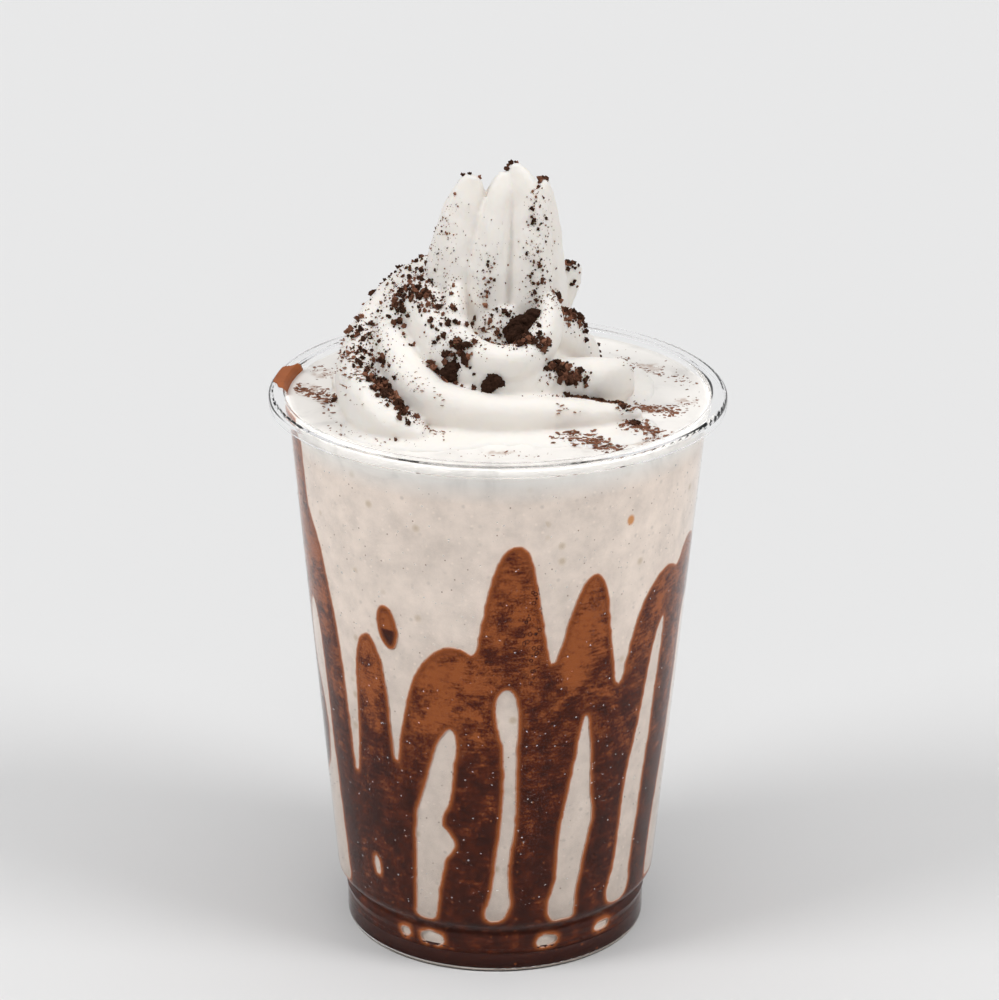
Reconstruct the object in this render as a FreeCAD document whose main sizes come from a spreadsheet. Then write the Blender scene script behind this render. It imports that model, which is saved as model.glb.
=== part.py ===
"""A frappe in a clear tumbler: chocolate sauce run down inside the wall, whipped cream piped on top.

Millimetres, +Z up, origin on the axis, in the plane that the foot stands on.
The front is -Y. Bearings are in degrees: 0 at the front, 90 at +X.
"""

import FreeCAD
import Part
import math
import os

import Sketcher

doc = FreeCAD.newDocument("frappe")
sheet = doc.addObject("Spreadsheet::Sheet", "Sizes")

DRIVING_SIZES = {
    # tumbler, outside
    "cup_height": 123.3,
    "rim_radius": 49.0,
    "rim_lip_drop": 2.4,
    "rim_fillet": 1.1,
    "flare_radius": 45.7,
    "flare_height": 120.2,
    "taper_top_radius": 44.6,
    "taper_top_height": 116.8,
    "ledge_radius": 35.0,
    "ledge_height": 12.8,
    "ledge_fillet": 2.4,
    "groove_radius": 32.5,
    "groove_height": 9.2,
    "bead_radius": 33.2,
    "bead_height": 8.1,
    "foot_radius": 32.9,
    "foot_fillet": 1.3,
    "foot_ring_radius": 27.6,
    "push_up_radius": 25.2,
    "push_up_height": 3.0,
    # tumbler, section
    "wall": 0.6,
    "lip_wall": 0.65,
    # contents
    "drink_level": 121.6,
    "pool_level": 5.4,
    "sauce_film": 0.7,
    "curtain_height": 40.0,
    # cream
    "skirt_radius": 36.5,
    "skirt_rise": 3.2,
    "core_radius": 12.5,
    "core_shoulder": 136.0,
    "core_top": 149.0,
    "ridges": 6,
    "ridge_depth": 0.09,
}
for row, (alias, amount) in enumerate(DRIVING_SIZES.items(), start=1):
    sheet.set(f"A{row}", alias)
    sheet.set(f"B{row}", str(amount))
    sheet.setAlias(f"B{row}", alias)
doc.recompute()


def size(alias):
    """A driving size, read back from the spreadsheet."""
    return float(getattr(sheet, alias))


def total(expression):
    """The value of a sum of driving sizes and numbers."""
    amount, sign = 0.0, 1.0
    for word in expression.split():
        if word in ("+", "-"):
            sign = 1.0 if word == "+" else -1.0
        else:
            amount += sign * (size(word) if word in DRIVING_SIZES else float(word))
    return amount


def bound(expression):
    """The same sum, as an expression for FreeCAD."""
    return " ".join("Sizes." + w if w in DRIVING_SIZES else w for w in expression.split())


def on_bearing(radius, bearing, height):
    """The point at a radius and bearing from the axis."""
    turn = math.radians(bearing)
    return FreeCAD.Vector(radius * math.sin(turn), -radius * math.cos(turn), height)


def part_feature(name, shape):
    """A document object for a shape made with Part's own functions."""
    feature = doc.addObject("Part::Feature", name)
    feature.Shape = shape
    return feature


def boolean(kind, name, *tools):
    """Part::Cut of two objects, or Part::MultiFuse or Part::MultiCommon of several."""
    feature = doc.addObject("Part::" + kind, name)
    if kind == "Cut":
        feature.Base, feature.Tool = tools
    else:
        feature.Shapes = list(tools)
    feature.Refine = kind != "MultiCommon"
    doc.recompute()
    return feature


# ------------------------------------------------------------------ turned bodies

def tie_corner(section, corner, axis, kind, expression):
    """Binds one corner's distance from an axis of its sketch to the spreadsheet."""
    amount = total(expression)
    if abs(amount) < 1e-9:
        section.addConstraint(Sketcher.Constraint("PointOnObject", corner, 1, axis))
        return
    index = section.addConstraint(Sketcher.Constraint(kind, -1, 1, corner, 1, amount))
    section.setExpression(f"Constraints[{index}]", bound(expression))


def turned_body(name, corners, fillets=()):
    """A body turned about Z from (radius, height) corners; fillets are (corner, radius) pairs."""
    body = doc.addObject("PartDesign::Body", name)
    section = body.newObject("Sketcher::SketchObject", name + "Section")
    plane = next(f for f in body.Origin.OriginFeatures if f.Role == "XZ_Plane")
    section.AttachmentSupport = (plane, [""])
    section.MapMode = "FlatFace"
    places = [FreeCAD.Vector(total(r), total(h), 0) for r, h in corners]
    count = len(places)
    for i in range(count):
        section.addGeometry(Part.LineSegment(places[i], places[(i + 1) % count]), False)
    for i in range(count):
        section.addConstraint(Sketcher.Constraint("Coincident", i, 2, (i + 1) % count, 1))
    for i, (radius, height) in enumerate(corners):
        tie_corner(section, i, -2, "DistanceX", radius)
        tie_corner(section, i, -1, "DistanceY", height)
    turn = body.newObject("PartDesign::Revolution", name + "Turn")
    turn.Profile = section
    turn.ReferenceAxis = (section, ["V_Axis"])
    turn.Angle = 360
    doc.recompute()
    base = turn
    for number, (corner, radius) in enumerate(fillets, start=1):
        edge = circle_edge(base.Shape, total(corner[0]), total(corner[1]))
        rounding = body.newObject("PartDesign::Fillet", f"{name}Fillet{number}")
        rounding.Base = (base, [edge])
        rounding.setExpression("Radius", bound(radius))
        doc.recompute()
        base = rounding
    return body


def circle_edge(shape, radius, height):
    """The name of the round edge at a radius and height."""
    for number, edge in enumerate(shape.Edges, start=1):
        curve = edge.Curve
        if isinstance(curve, Part.Circle) and abs(curve.Radius - radius) < 0.02:
            if abs(curve.Center.z - height) < 0.02:
                return f"Edge{number}"
    raise ValueError(f"no round edge at radius {radius}, height {height}")


# ------------------------------------------------------------------ tumbler

outside = turned_body(
    "TumblerOutside",
    [
        ("0", "push_up_height"),
        ("push_up_radius", "push_up_height"),
        ("foot_ring_radius", "0"),
        ("foot_radius", "0"),
        ("foot_radius", "bead_height - 1.2"),
        ("bead_radius", "bead_height"),
        ("groove_radius", "groove_height"),
        ("ledge_radius", "ledge_height"),
        ("taper_top_radius", "taper_top_height"),
        ("flare_radius", "flare_height"),
        ("flare_radius", "cup_height - lip_wall"),
        ("rim_radius - lip_wall", "cup_height - lip_wall"),
        ("rim_radius - lip_wall", "cup_height - rim_lip_drop"),
        ("rim_radius", "cup_height - rim_lip_drop"),
        ("rim_radius", "cup_height"),
        ("0", "cup_height"),
    ],
    [
        (("rim_radius", "cup_height"), "rim_fillet"),
        (("rim_radius - lip_wall", "cup_height - lip_wall"), "rim_fillet - lip_wall"),
        (("foot_radius", "0"), "foot_fillet"),
        (("ledge_radius", "ledge_height"), "ledge_fillet"),
    ],
)

CAVITY = [
    ("0", "push_up_height + wall"),
    ("push_up_radius + 0.3", "push_up_height + wall"),
    ("foot_ring_radius + 0.3", "wall"),
    ("foot_radius - wall", "wall"),
    ("foot_radius - wall", "bead_height - 1.2"),
    ("bead_radius - wall", "bead_height"),
    ("groove_radius - wall", "groove_height + 0.1"),
    ("ledge_radius - wall", "ledge_height + 0.2"),
    ("taper_top_radius - wall", "taper_top_height"),
    ("flare_radius - wall", "flare_height"),
]
CAVITY_FILLETS = [
    (("foot_radius - wall", "wall"), "foot_fillet - wall"),
    (("ledge_radius - wall", "ledge_height + 0.2"), "ledge_fillet"),
]
cavity = turned_body(
    "TumblerCavity",
    CAVITY
    + [
        ("flare_radius - wall", "cup_height - 0.8"),
        ("flare_radius - wall + 0.8", "cup_height"),
        ("flare_radius - wall + 0.8", "cup_height + 2"),
        ("0", "cup_height + 2"),
    ],
    CAVITY_FILLETS + [(("flare_radius - wall", "cup_height - 0.8"), "rim_fillet")],
)
tumbler = boolean("Cut", "Tumbler", outside, cavity)

# ------------------------------------------------------------------ what fills the tumbler

contents_room = turned_body(
    "ContentsRoom",
    CAVITY
    + [
        ("flare_radius - wall", "drink_level"),
        ("0", "drink_level"),
    ],
    CAVITY_FILLETS,
)

sauce_core = turned_body(
    "SauceCore",
    [
        ("0", "pool_level"),
        ("foot_radius - wall - sauce_film", "pool_level"),
        ("foot_radius - wall - sauce_film", "bead_height - 1.2"),
        ("bead_radius - wall - sauce_film", "bead_height"),
        ("groove_radius - wall - sauce_film", "groove_height + 0.2"),
        ("ledge_radius - wall - sauce_film", "ledge_height + 0.5"),
        ("taper_top_radius - wall - sauce_film", "taper_top_height + 0.1"),
        ("flare_radius - wall - sauce_film", "flare_height"),
        ("flare_radius - wall - sauce_film", "cup_height"),
        ("0", "cup_height"),
    ],
)
sauce_room = boolean("Cut", "SauceRoom", contents_room, sauce_core)

# The sauce ran down the inside of the wall from the rim and pooled in the foot. Its upper edge is
# a row of tongues: bearing, crest height, spread to the left and to the right 30 mm below the
# crest, and the power that the spread grows with. The last eight are on the side away from view.
TONGUES = [
    (-76.0, 124.0, 7.5, 7.5, 0.12),
    (-75.0, 101.0, 20.0, 20.0, 0.25),
    (-42.0, 79.0, 7.8, 7.8, 0.25),
    (-15.0, 80.0, 18.0, 10.0, 0.38),
    (6.0, 104.0, 13.3, 8.6, 0.38),
    (29.0, 95.5, 12.6, 9.5, 0.37),
    (57.0, 91.3, 18.0, 14.0, 0.35),
    (77.0, 95.0, 12.0, 12.0, 0.35),
    (98.0, 88.0, 11.0, 14.0, 0.35),
    (122.0, 76.0, 12.0, 10.0, 0.3),
    (148.0, 99.0, 15.0, 11.0, 0.38),
    (172.0, 84.0, 10.0, 13.0, 0.33),
    (196.0, 72.0, 13.0, 9.0, 0.3),
    (222.0, 92.0, 14.0, 15.0, 0.38),
    (246.0, 80.0, 11.0, 12.0, 0.35),
    (266.0, 90.0, 11.0, 12.0, 0.3),
]

# Where the sauce parted again the drink shows through a narrow window: bearing at the foot and at
# the tip, bow between them, foot and tip heights, half width, and how much of it the tip loses.
WINDOWS = [
    (-74.0, -71.0, 0.0, 13.5, 79.0, 5.6, 0.7),
    (-45.5, -45.5, 0.0, 19.5, 24.5, 1.3, 0.4),
    (-25.0, -14.5, -1.6, 13.5, 60.5, 4.6, 0.35),
    (0.5, 3.2, 0.8, 14.0, 70.5, 2.7, 0.1),
    (24.0, 29.3, 1.2, 13.0, 63.0, 5.0, 0.6),
    (48.6, 59.5, -1.0, 15.0, 80.0, 5.4, 0.78),
    (74.0, 83.0, 0.0, 15.0, 79.0, 6.6, 0.6),
    (100.0, 96.0, 1.0, 16.0, 58.0, 4.4, 0.5),
    (124.0, 129.0, 0.0, 14.0, 46.0, 3.2, 0.4),
    (147.0, 143.0, -1.0, 15.0, 74.0, 4.8, 0.7),
    (171.0, 176.0, 0.0, 13.5, 52.0, 3.4, 0.3),
    (193.0, 190.0, 1.0, 17.0, 44.0, 4.2, 0.5),
    (214.0, 220.0, 0.0, 14.0, 66.0, 4.6, 0.6),
    (240.0, 237.0, -1.0, 16.0, 60.0, 3.0, 0.3),
    (262.0, 258.0, 0.0, 15.0, 48.0, 4.0, 0.5),
]

# Two swellings on the right edge of the widest window: window number, height, height of the
# swelling, and how far it stands out in degrees.
BULGES = [
    (2, 33.0, 4.2, 2.3),
    (2, 46.0, 3.0, 0.7),
    (4, 36.0, 5.0, 0.9),
]

# Gaps where the drink shows between the pool and the sauce on the ledge: bearing, half width.
FOOT_GAPS = [(-37.0, 3.0), (-24.0, 4.6), (20.0, 4.4), (45.0, 3.6), (118.0, 4.0), (166.0, 3.0), (232.0, 4.6)]


def wall_radius(height):
    """Radius of the tumbler's inner face on its long taper."""
    low, high = size("ledge_height"), size("taper_top_height")
    share = (height - low) / (high - low)
    outer = size("ledge_radius") + share * (size("taper_top_radius") - size("ledge_radius"))
    return outer - size("wall")


def radial_prism(bearing, outline):
    """A prism along one bearing; the outline is (bearing offset, height) pairs on the wall."""
    places = []
    for offset, height in outline:
        across = wall_radius(max(height, size("ledge_height"))) * math.sin(math.radians(offset))
        places.append(FreeCAD.Vector(across, -20.0, height))
    curve = Part.BSplineCurve()
    curve.interpolate(Points=places, PeriodicFlag=False)
    edges = [curve.toShape(), Part.LineSegment(places[-1], places[0]).toShape()]
    prism = Part.Face(Part.Wire(edges)).extrude(FreeCAD.Vector(0, -32.0, 0))
    prism.rotate(FreeCAD.Vector(0, 0, 0), FreeCAD.Vector(0, 0, 1), bearing)
    return prism


def tongue(bearing, crest, left, right, power):
    """One tongue of sauce, from inside the curtain up to its crest."""
    depth = crest - size("curtain_height") + 4.0
    steps = [depth * share for share in (1.0, 0.72, 0.48, 0.28, 0.13, 0.04, 0.008)]
    rising = [(-left * (d / 30.0) ** power, crest - d) for d in steps]
    falling = [(right * (d / 30.0) ** power, crest - d) for d in reversed(steps)]
    return radial_prism(bearing, rising + [(0.0, crest)] + falling)


def window(number, foot, tip, bow, low, high, half_width, taper):
    """One parting of the sauce, round at its foot and drawn to a tip."""
    middle = 0.5 * (foot + tip)
    sides = ([], [])
    for share in (0.03, 0.1, 0.22, 0.36, 0.5, 0.64, 0.78, 0.9, 0.975):
        height = low + share * (high - low)
        centre = foot + share * (tip - foot) + bow * math.sin(math.pi * share)
        width = half_width * (1.0 - taper * share * share)
        width *= min(1.0, math.sqrt(1.0 - max(0.0, 1.0 - (height - low) / 4.0) ** 2))
        width *= min(1.0, math.sqrt(1.0 - max(0.0, 1.0 - (high - height) / 9.0) ** 2))
        stand_out = sum(
            out * math.exp(-(((height - at) / span) ** 2))
            for which, at, span, out in BULGES
            if which == number
        )
        sides[0].append((centre - width - middle, height))
        sides[1].append((centre + width + stand_out - middle, height))
    loop = [(foot - middle, low)] + sides[0] + [(tip - middle, high)] + sides[1][::-1]
    return radial_prism(middle, loop)


def oval(bearing, height, half_width, half_height):
    """An oval prism along one bearing."""
    across = wall_radius(height) * math.sin(math.radians(half_width))
    ellipse = Part.Ellipse(FreeCAD.Vector(0, 0, 0), max(across, half_height), min(across, half_height))
    face = Part.Face(Part.Wire([ellipse.toShape()]))
    if half_height > across:
        face.rotate(FreeCAD.Vector(0, 0, 0), FreeCAD.Vector(0, 0, 1), 90)
    face.rotate(FreeCAD.Vector(0, 0, 0), FreeCAD.Vector(1, 0, 0), 90)
    face.translate(FreeCAD.Vector(0, -20.0, height))
    prism = face.extrude(FreeCAD.Vector(0, -32.0, 0))
    prism.rotate(FreeCAD.Vector(0, 0, 0), FreeCAD.Vector(0, 0, 1), bearing)
    return prism


def sector(first, last):
    """A wedge about the axis between two bearings, taller than the tumbler."""
    reach = 2.0 * size("rim_radius")
    corners = [FreeCAD.Vector(0, 0, -1.0)]
    corners += [on_bearing(reach, b, -1.0) for b in (first, 0.5 * (first + last), last)]
    base = Part.Face(Part.makePolygon(corners + corners[:1]))
    return base.extrude(FreeCAD.Vector(0, 0, 1.5 * size("cup_height")))


def near(tools, solid):
    """The tools whose boxes reach a solid's box."""
    return [tool for tool in tools if tool.BoundBox.intersect(solid.BoundBox)]


curtain_base = doc.addObject("Part::Cylinder", "CurtainBase")
curtain_base.setExpression("Radius", "Sizes.rim_radius")
curtain_base.setExpression("Height", "Sizes.curtain_height")
doc.recompute()
tongues = part_feature("CurtainTongues", Part.Compound([tongue(*row) for row in TONGUES]))
partings = part_feature(
    "CurtainPartings",
    Part.Compound(
        [window(number, *row) for number, row in enumerate(WINDOWS)]
        + [oval(bearing, 7.3, half_width, 0.85) for bearing, half_width in FOOT_GAPS]
    ),
)

droplet_outline = part_feature("DropletOutline", oval(-34.0, 82.0, 3.6, 5.0))
sauce_droplet = boolean("MultiCommon", "SauceDroplet", sauce_room, droplet_outline)

# The film, and the drink that lies against it, are made a quarter at a time, so that none of
# their faces closes on itself.
sauce_quarters = []
drink_quarters = []
for first in (-45.0, 45.0, 135.0, 225.0):
    wedge = sector(first, first + 90.0)
    room = sauce_room.Shape.common(wedge)
    cover = curtain_base.Shape.multiFuse(near(tongues.Shape.Solids, room))
    hung = room.common(cover).cut(near(partings.Shape.Solids, room))
    contents = contents_room.Shape.common(wedge)
    sauce_quarters.append(hung)
    drink_quarters.append(contents.cut(near([hung, sauce_droplet.Shape], contents)))
chocolate_sauce = part_feature(
    "ChocolateSauce", sauce_quarters[0].multiFuse(sauce_quarters[1:]).Solids[0]
)
milkshake = part_feature("Milkshake", drink_quarters[0].multiFuse(drink_quarters[1:]).Solids[0])


# ------------------------------------------------------------------ whipped cream

def ridged_section(centre, across, up, half_width, half_height, twist, ridges, depth):
    """Points round a star-nozzle section about a centre, in the plane of two unit vectors."""
    places = []
    steps = 4 * ridges
    for step in range(steps):
        turn = 2.0 * math.pi * step / steps
        reach = 1.0 + depth * math.cos(ridges * turn + twist)
        places.append(
            centre
            + across * (half_width * reach * math.cos(turn))
            + up * (half_height * reach * math.sin(turn))
        )
    return places + places[:1]


def skinned(sections):
    """A closed solid skinned over sections, in two halves that meet along its sides."""
    skin = Part.BSplineSurface()
    skin.interpolate(sections)
    u_first, u_last, v_first, v_last = skin.bounds()
    v_middle = skin.getVKnots()[skin.NbVKnots // 2]
    faces = [
        skin.toShape(u_first, u_last, v_first, v_middle),
        skin.toShape(u_first, u_last, v_middle, v_last),
    ]
    for end in (u_first, u_last):
        iso = skin.uIso(end)
        rim = [iso.toShape(v_first, v_middle), iso.toShape(v_middle, v_last)]
        faces.append(Part.Face(Part.Wire(rim)))
    shell = Part.Shell(faces)
    shell.sewShape()
    solid = Part.Solid(shell)
    if solid.Volume < 0:
        solid.reverse()
    return solid


def eased(stations, share):
    """Stations read at a share of the way along, on a smooth curve through each quantity."""
    position = share * (len(stations) - 1)
    index = min(int(position), len(stations) - 2)
    local = position - index
    before = stations[max(index - 1, 0)]
    here = stations[index]
    there = stations[index + 1]
    after = stations[min(index + 2, len(stations) - 1)]
    mixed = []
    for a, b, c, d in zip(before, here, there, after):
        mixed.append(
            0.5
            * (
                2.0 * b
                + (c - a) * local
                + (2.0 * a - 5.0 * b + 4.0 * c - d) * local ** 2
                + (3.0 * b - a - 3.0 * c + d) * local ** 3
            )
        )
    return mixed


def rope_section(stations, share, ridges, depth, twist=0.0):
    """The section of a rope of cream at a share of the way along it, square to its path."""
    x, y, height, half_width, half_height = eased(stations, share)
    centre = FreeCAD.Vector(x, y, height)
    ahead = FreeCAD.Vector(*eased(stations, min(share + 0.01, 1.0))[:3])
    behind = FreeCAD.Vector(*eased(stations, max(share - 0.01, 0.0))[:3])
    along = (ahead - behind).normalize()
    outward = FreeCAD.Vector(x, y, 0).normalize()
    across = (outward - along * outward.dot(along)).normalize()
    up = across.cross(along)
    if up.z < 0:
        up = -up
    return ridged_section(centre, across, up, half_width, half_height, twist, ridges, depth)


def band(stations, sections):
    """A rope of cream laid round the axis: (x, y, height, half width, half height)."""
    wires = []
    for number in range(sections):
        share = number / (sections - 1)
        twist = 2.0 * share
        wires.append(
            rope_section(stations, share, int(size("ridges")), size("ridge_depth"), twist)
        )
    return skinned(wires)


def leaf(stations, sections, turn):
    """A leaf of cream drawn upwards: (x, y, height, half width, half depth), turned about Z."""
    across = FreeCAD.Vector(math.cos(math.radians(turn)), math.sin(math.radians(turn)), 0)
    deep = FreeCAD.Vector(-across.y, across.x, 0)
    wires = []
    for number in range(sections):
        x, y, height, half_width, half_depth = eased(stations, number / (sections - 1))
        centre = FreeCAD.Vector(x, y, height)
        wires.append(ridged_section(centre, across, deep, half_width, half_depth, 0.0, 4, 0.05))
    return skinned(wires)


BANDS = {
    "OuterBand": [
        (-14.9, -30.2, 122.6, 2.0, 1.4),
        (-17.7, -28.4, 123.2, 3.6, 3.0),
        (-21.6, -25.8, 123.8, 4.8, 4.4),
        (-25.7, -21.7, 125.2, 5.2, 5.4),
        (-28.4, -13.3, 127.5, 5.6, 6.4),
        (-27.3, -5.2, 130.8, 5.9, 7.4),
        (-23.2, 2.5, 134.2, 6.3, 8.4),
        (-17.6, 8.0, 137.3, 6.8, 9.0),
        (-11.1, 11.8, 138.4, 7.2, 9.4),
        (-3.7, 13.8, 137.5, 7.0, 8.6),
    ],
    "FrontBand": [
        (30.2, -16.2, 123.4, 1.0, 0.8),
        (26.8, -17.7, 123.7, 2.2, 1.9),
        (19.5, -20.5, 124.1, 3.8, 3.4),
        (11.4, -22.1, 124.5, 4.6, 4.3),
        (0.4, -22.9, 124.7, 5.0, 4.7),
        (-10.3, -22.0, 126.1, 5.4, 5.4),
        (-16.5, -18.9, 128.5, 5.8, 6.0),
        (-20.0, -11.9, 131.6, 6.0, 6.4),
        (-20.6, -5.0, 134.5, 6.2, 6.8),
        (-17.9, 1.6, 137.7, 6.4, 7.2),
        (-11.6, 6.7, 140.4, 6.6, 7.4),
        (-3.4, 8.5, 140.6, 6.2, 7.0),
    ],
    "InnerBand": [
        (28.5, -5.3, 127.2, 2.4, 3.4),
        (25.0, -6.8, 127.2, 4.4, 4.8),
        (18.4, -10.8, 128.0, 5.2, 5.4),
        (10.7, -14.0, 129.0, 5.4, 5.4),
        (3.8, -15.7, 129.2, 5.4, 5.2),
        (-3.0, -16.3, 130.4, 5.4, 5.4),
        (-8.1, -15.1, 133.6, 5.6, 5.8),
        (-12.1, -11.2, 137.4, 5.8, 6.0),
        (-14.5, -5.5, 140.9, 6.0, 6.2),
        (-12.2, 0.7, 143.5, 6.0, 6.4),
        (-6.7, 4.4, 145.0, 5.6, 6.0),
    ],
    "Shoulder": [
        (5.1, -9.4, 138.9, 2.6, 3.0),
        (8.6, -5.8, 138.3, 4.2, 4.4),
        (12.9, -1.1, 135.0, 5.0, 5.2),
        (16.5, 3.3, 130.5, 5.4, 5.8),
        (20.5, 10.2, 127.2, 5.6, 6.0),
        (18.4, 19.7, 125.2, 5.4, 5.4),
        (9.0, 26.9, 124.3, 4.6, 4.2),
        (-2.8, 30.8, 123.6, 3.2, 2.8),
        (-9.7, 32.6, 123.5, 1.4, 1.0),
    ],
    "RearBand": [
        (7.0, 3.7, 144.5, 4.0, 5.0),
        (8.2, 10.5, 140.8, 5.4, 6.0),
        (1.6, 16.3, 135.9, 6.0, 6.6),
        (-9.3, 20.7, 131.5, 6.0, 6.4),
        (-19.6, 18.7, 127.9, 5.8, 5.8),
        (-27.3, 11.6, 125.2, 5.0, 4.8),
        (-32.0, 3.3, 123.9, 3.4, 3.0),
        (-34.0, -2.4, 123.5, 1.4, 1.0),
    ],
    "BowlLip": [
        (-7.2, -5.4, 145.6, 1.2, 1.6),
        (-8.2, -9.2, 142.1, 2.6, 3.0),
        (-8.0, -12.0, 138.8, 3.4, 3.4),
        (-4.9, -16.1, 135.7, 3.8, 3.7),
        (-0.1, -17.6, 134.1, 4.0, 3.8),
        (4.9, -16.2, 134.6, 3.9, 3.8),
        (8.4, -11.9, 137.2, 3.6, 3.6),
        (9.7, -8.1, 141.5, 2.8, 3.0),
        (9.5, -5.8, 145.3, 1.2, 1.5),
    ],
}

LEAVES = {
    "LeafLeft": (
        10.0,
        [
            (-6.5, -3.0, 129.3, 9.4, 7.6),
            (-8.6, -3.8, 139.0, 8.2, 6.4),
            (-8.9, -3.5, 148.0, 6.8, 5.2),
            (-8.3, -2.8, 157.0, 5.4, 4.0),
            (-6.4, -1.8, 165.0, 3.6, 2.6),
            (-4.9, -1.0, 170.2, 1.2, 0.9),
        ],
    ),
    "LeafMiddle": (
        -6.0,
        [
            (-2.4, -8.6, 130.6, 5.2, 5.0),
            (-2.7, -9.4, 141.0, 4.3, 4.1),
            (-2.4, -8.8, 150.0, 3.7, 3.4),
            (-1.9, -7.2, 158.5, 2.9, 2.7),
            (-1.5, -4.4, 166.2, 1.0, 0.9),
        ],
    ),
    "LeafRight": (
        -14.0,
        [
            (5.8, -6.0, 129.8, 6.6, 6.4),
            (6.4, -6.6, 141.0, 5.6, 5.2),
            (6.9, -6.0, 152.0, 4.9, 4.2),
            (6.4, -4.0, 162.5, 4.5, 3.2),
            (4.6, -1.8, 169.4, 3.0, 1.9),
            (3.1, -0.6, 172.8, 1.1, 0.9),
        ],
    ),
    "LeafOuter": (
        -40.0,
        [
            (9.0, 0.4, 131.1, 6.6, 7.0),
            (9.5, 0.0, 143.0, 5.0, 6.0),
            (9.6, -0.2, 155.0, 3.8, 4.6),
            (9.3, 0.0, 164.0, 2.7, 3.0),
            (9.6, 0.2, 169.4, 1.1, 1.0),
        ],
    ),
    "LeafRear": (
        4.0,
        [
            (0.0, 6.5, 128.7, 11.0, 8.0),
            (-0.4, 5.6, 143.0, 8.6, 6.0),
            (0.1, 4.4, 154.0, 6.6, 4.6),
            (1.0, 2.8, 164.0, 4.4, 3.0),
            (1.7, 1.3, 171.0, 1.2, 1.0),
        ],
    ),
    "Flange": (
        24.0,
        [
            (8.6, 3.0, 132.0, 2.6, 2.2),
            (12.2, 4.4, 140.4, 3.5, 1.9),
            (14.3, 5.2, 145.5, 3.5, 1.1),
            (15.4, 5.6, 149.2, 3.0, 0.8),
        ],
    ),
}


skirt = turned_body(
    "CreamSkirt",
    [
        ("0", "drink_level"),
        ("skirt_radius", "drink_level"),
        ("skirt_radius - 1.2", "drink_level + 0.7"),
        ("skirt_radius - 9", "drink_level + 1.9"),
        ("skirt_radius - 17", "drink_level + skirt_rise"),
        ("core_radius", "core_shoulder"),
        ("core_radius - 8", "core_top - 1"),
        ("0", "core_top"),
    ],
)

doc.recompute()
ropes = []
for name, stations in BANDS.items():
    ropes.append(part_feature(name, band(stations, 3 * len(stations) // 2)))
for name, (turn, stations) in LEAVES.items():
    ropes.append(part_feature(name, leaf(stations, 2 * len(stations) - 1, turn)))
piped = skirt.Shape
for rope in ropes:
    piped = piped.fuse(rope.Shape)
piping = part_feature("Piping", piped)

headroom = doc.addObject("Part::Cylinder", "Headroom")
headroom.setExpression("Radius", "Sizes.flare_radius")
headroom.Height = 70.0
headroom.Placement.Base.z = size("drink_level")
headroom.setExpression("Placement.Base.z", "Sizes.drink_level")
whipped_cream = boolean("MultiCommon", "WhippedCream", piping, headroom)

# ------------------------------------------------------------------ cookie pieces

# Broken lumps of chocolate cookie pressed into the cream: centre, length, depth, height, and
# the turns about Z and Y of the block that is left.
COOKIE_PIECES = [
    ((4.8, -12.4, 140.6), 8.8, 5.4, 5.0, 12.0, -38.0),
    ((-8.7, -20.8, 134.0), 5.0, 4.4, 4.6, 30.0, 14.0),
    ((-0.8, -22.1, 132.6), 4.0, 3.6, 4.2, -18.0, 6.0),
]


def lump(number, centre, length, depth, height, turn, tip):
    """A broken lump, what two blocks turned against each other share, seated on the cream."""
    blocks = []
    for share, extra in ((1.0, 0.0), (0.96, 34.0)):
        block = doc.addObject("Part::Box", f"CookieBlock{number}_{len(blocks)}")
        block.Length = length * (1.0 if extra == 0.0 else 1.12)
        block.Width = depth * (1.0 if extra == 0.0 else 1.25)
        block.Height = height * share
        half = FreeCAD.Vector(block.Length.Value / 2, block.Width.Value / 2, block.Height.Value / 2)
        spin = FreeCAD.Rotation(turn + 0.4 * extra, tip + 0.25 * extra, extra)
        block.Placement = FreeCAD.Placement(FreeCAD.Vector(*centre) - spin.multVec(half), spin)
        blocks.append(block)
    broken = boolean("MultiCommon", f"CookieLump{number}", *blocks)
    return boolean("Cut", f"CookiePiece{number}", broken, whipped_cream)


cookie_pieces = [lump(number, *row) for number, row in enumerate(COOKIE_PIECES, start=1)]

# ------------------------------------------------------------------ names, checks and files

NODES = {
    "tumbler": tumbler,
    "milkshake": milkshake,
    "chocolate_sauce": chocolate_sauce,
    "sauce_droplet": sauce_droplet,
    "whipped_cream": whipped_cream,
}
for number, piece in enumerate(cookie_pieces, start=1):
    NODES[f"cookie_piece_{number}"] = piece

doc.recompute()
for item in doc.Objects:
    if {"Invalid", "Error"} & set(item.State):
        raise RuntimeError(f"{item.Name} failed: {item.State}")

os.makedirs("parts", exist_ok=True)
for name, piece in NODES.items():
    piece.Label = name
    shape = piece.Shape
    if shape.isNull() or not shape.isValid():
        raise RuntimeError(f"{name} has no valid shape")
    if len(shape.Solids) != 1:
        raise RuntimeError(f"{name} is {len(shape.Solids)} solids")
    shape.exportStep(f"parts/{name}.step")
    box = shape.BoundBox
    print(
        f"{name}: {shape.Volume / 1000.0:.2f} ml, {len(shape.Faces)} faces, "
        f"x {box.XMin:.1f}..{box.XMax:.1f}, y {box.YMin:.1f}..{box.YMax:.1f}, "
        f"z {box.ZMin:.1f}..{box.ZMax:.1f}"
    )
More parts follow.
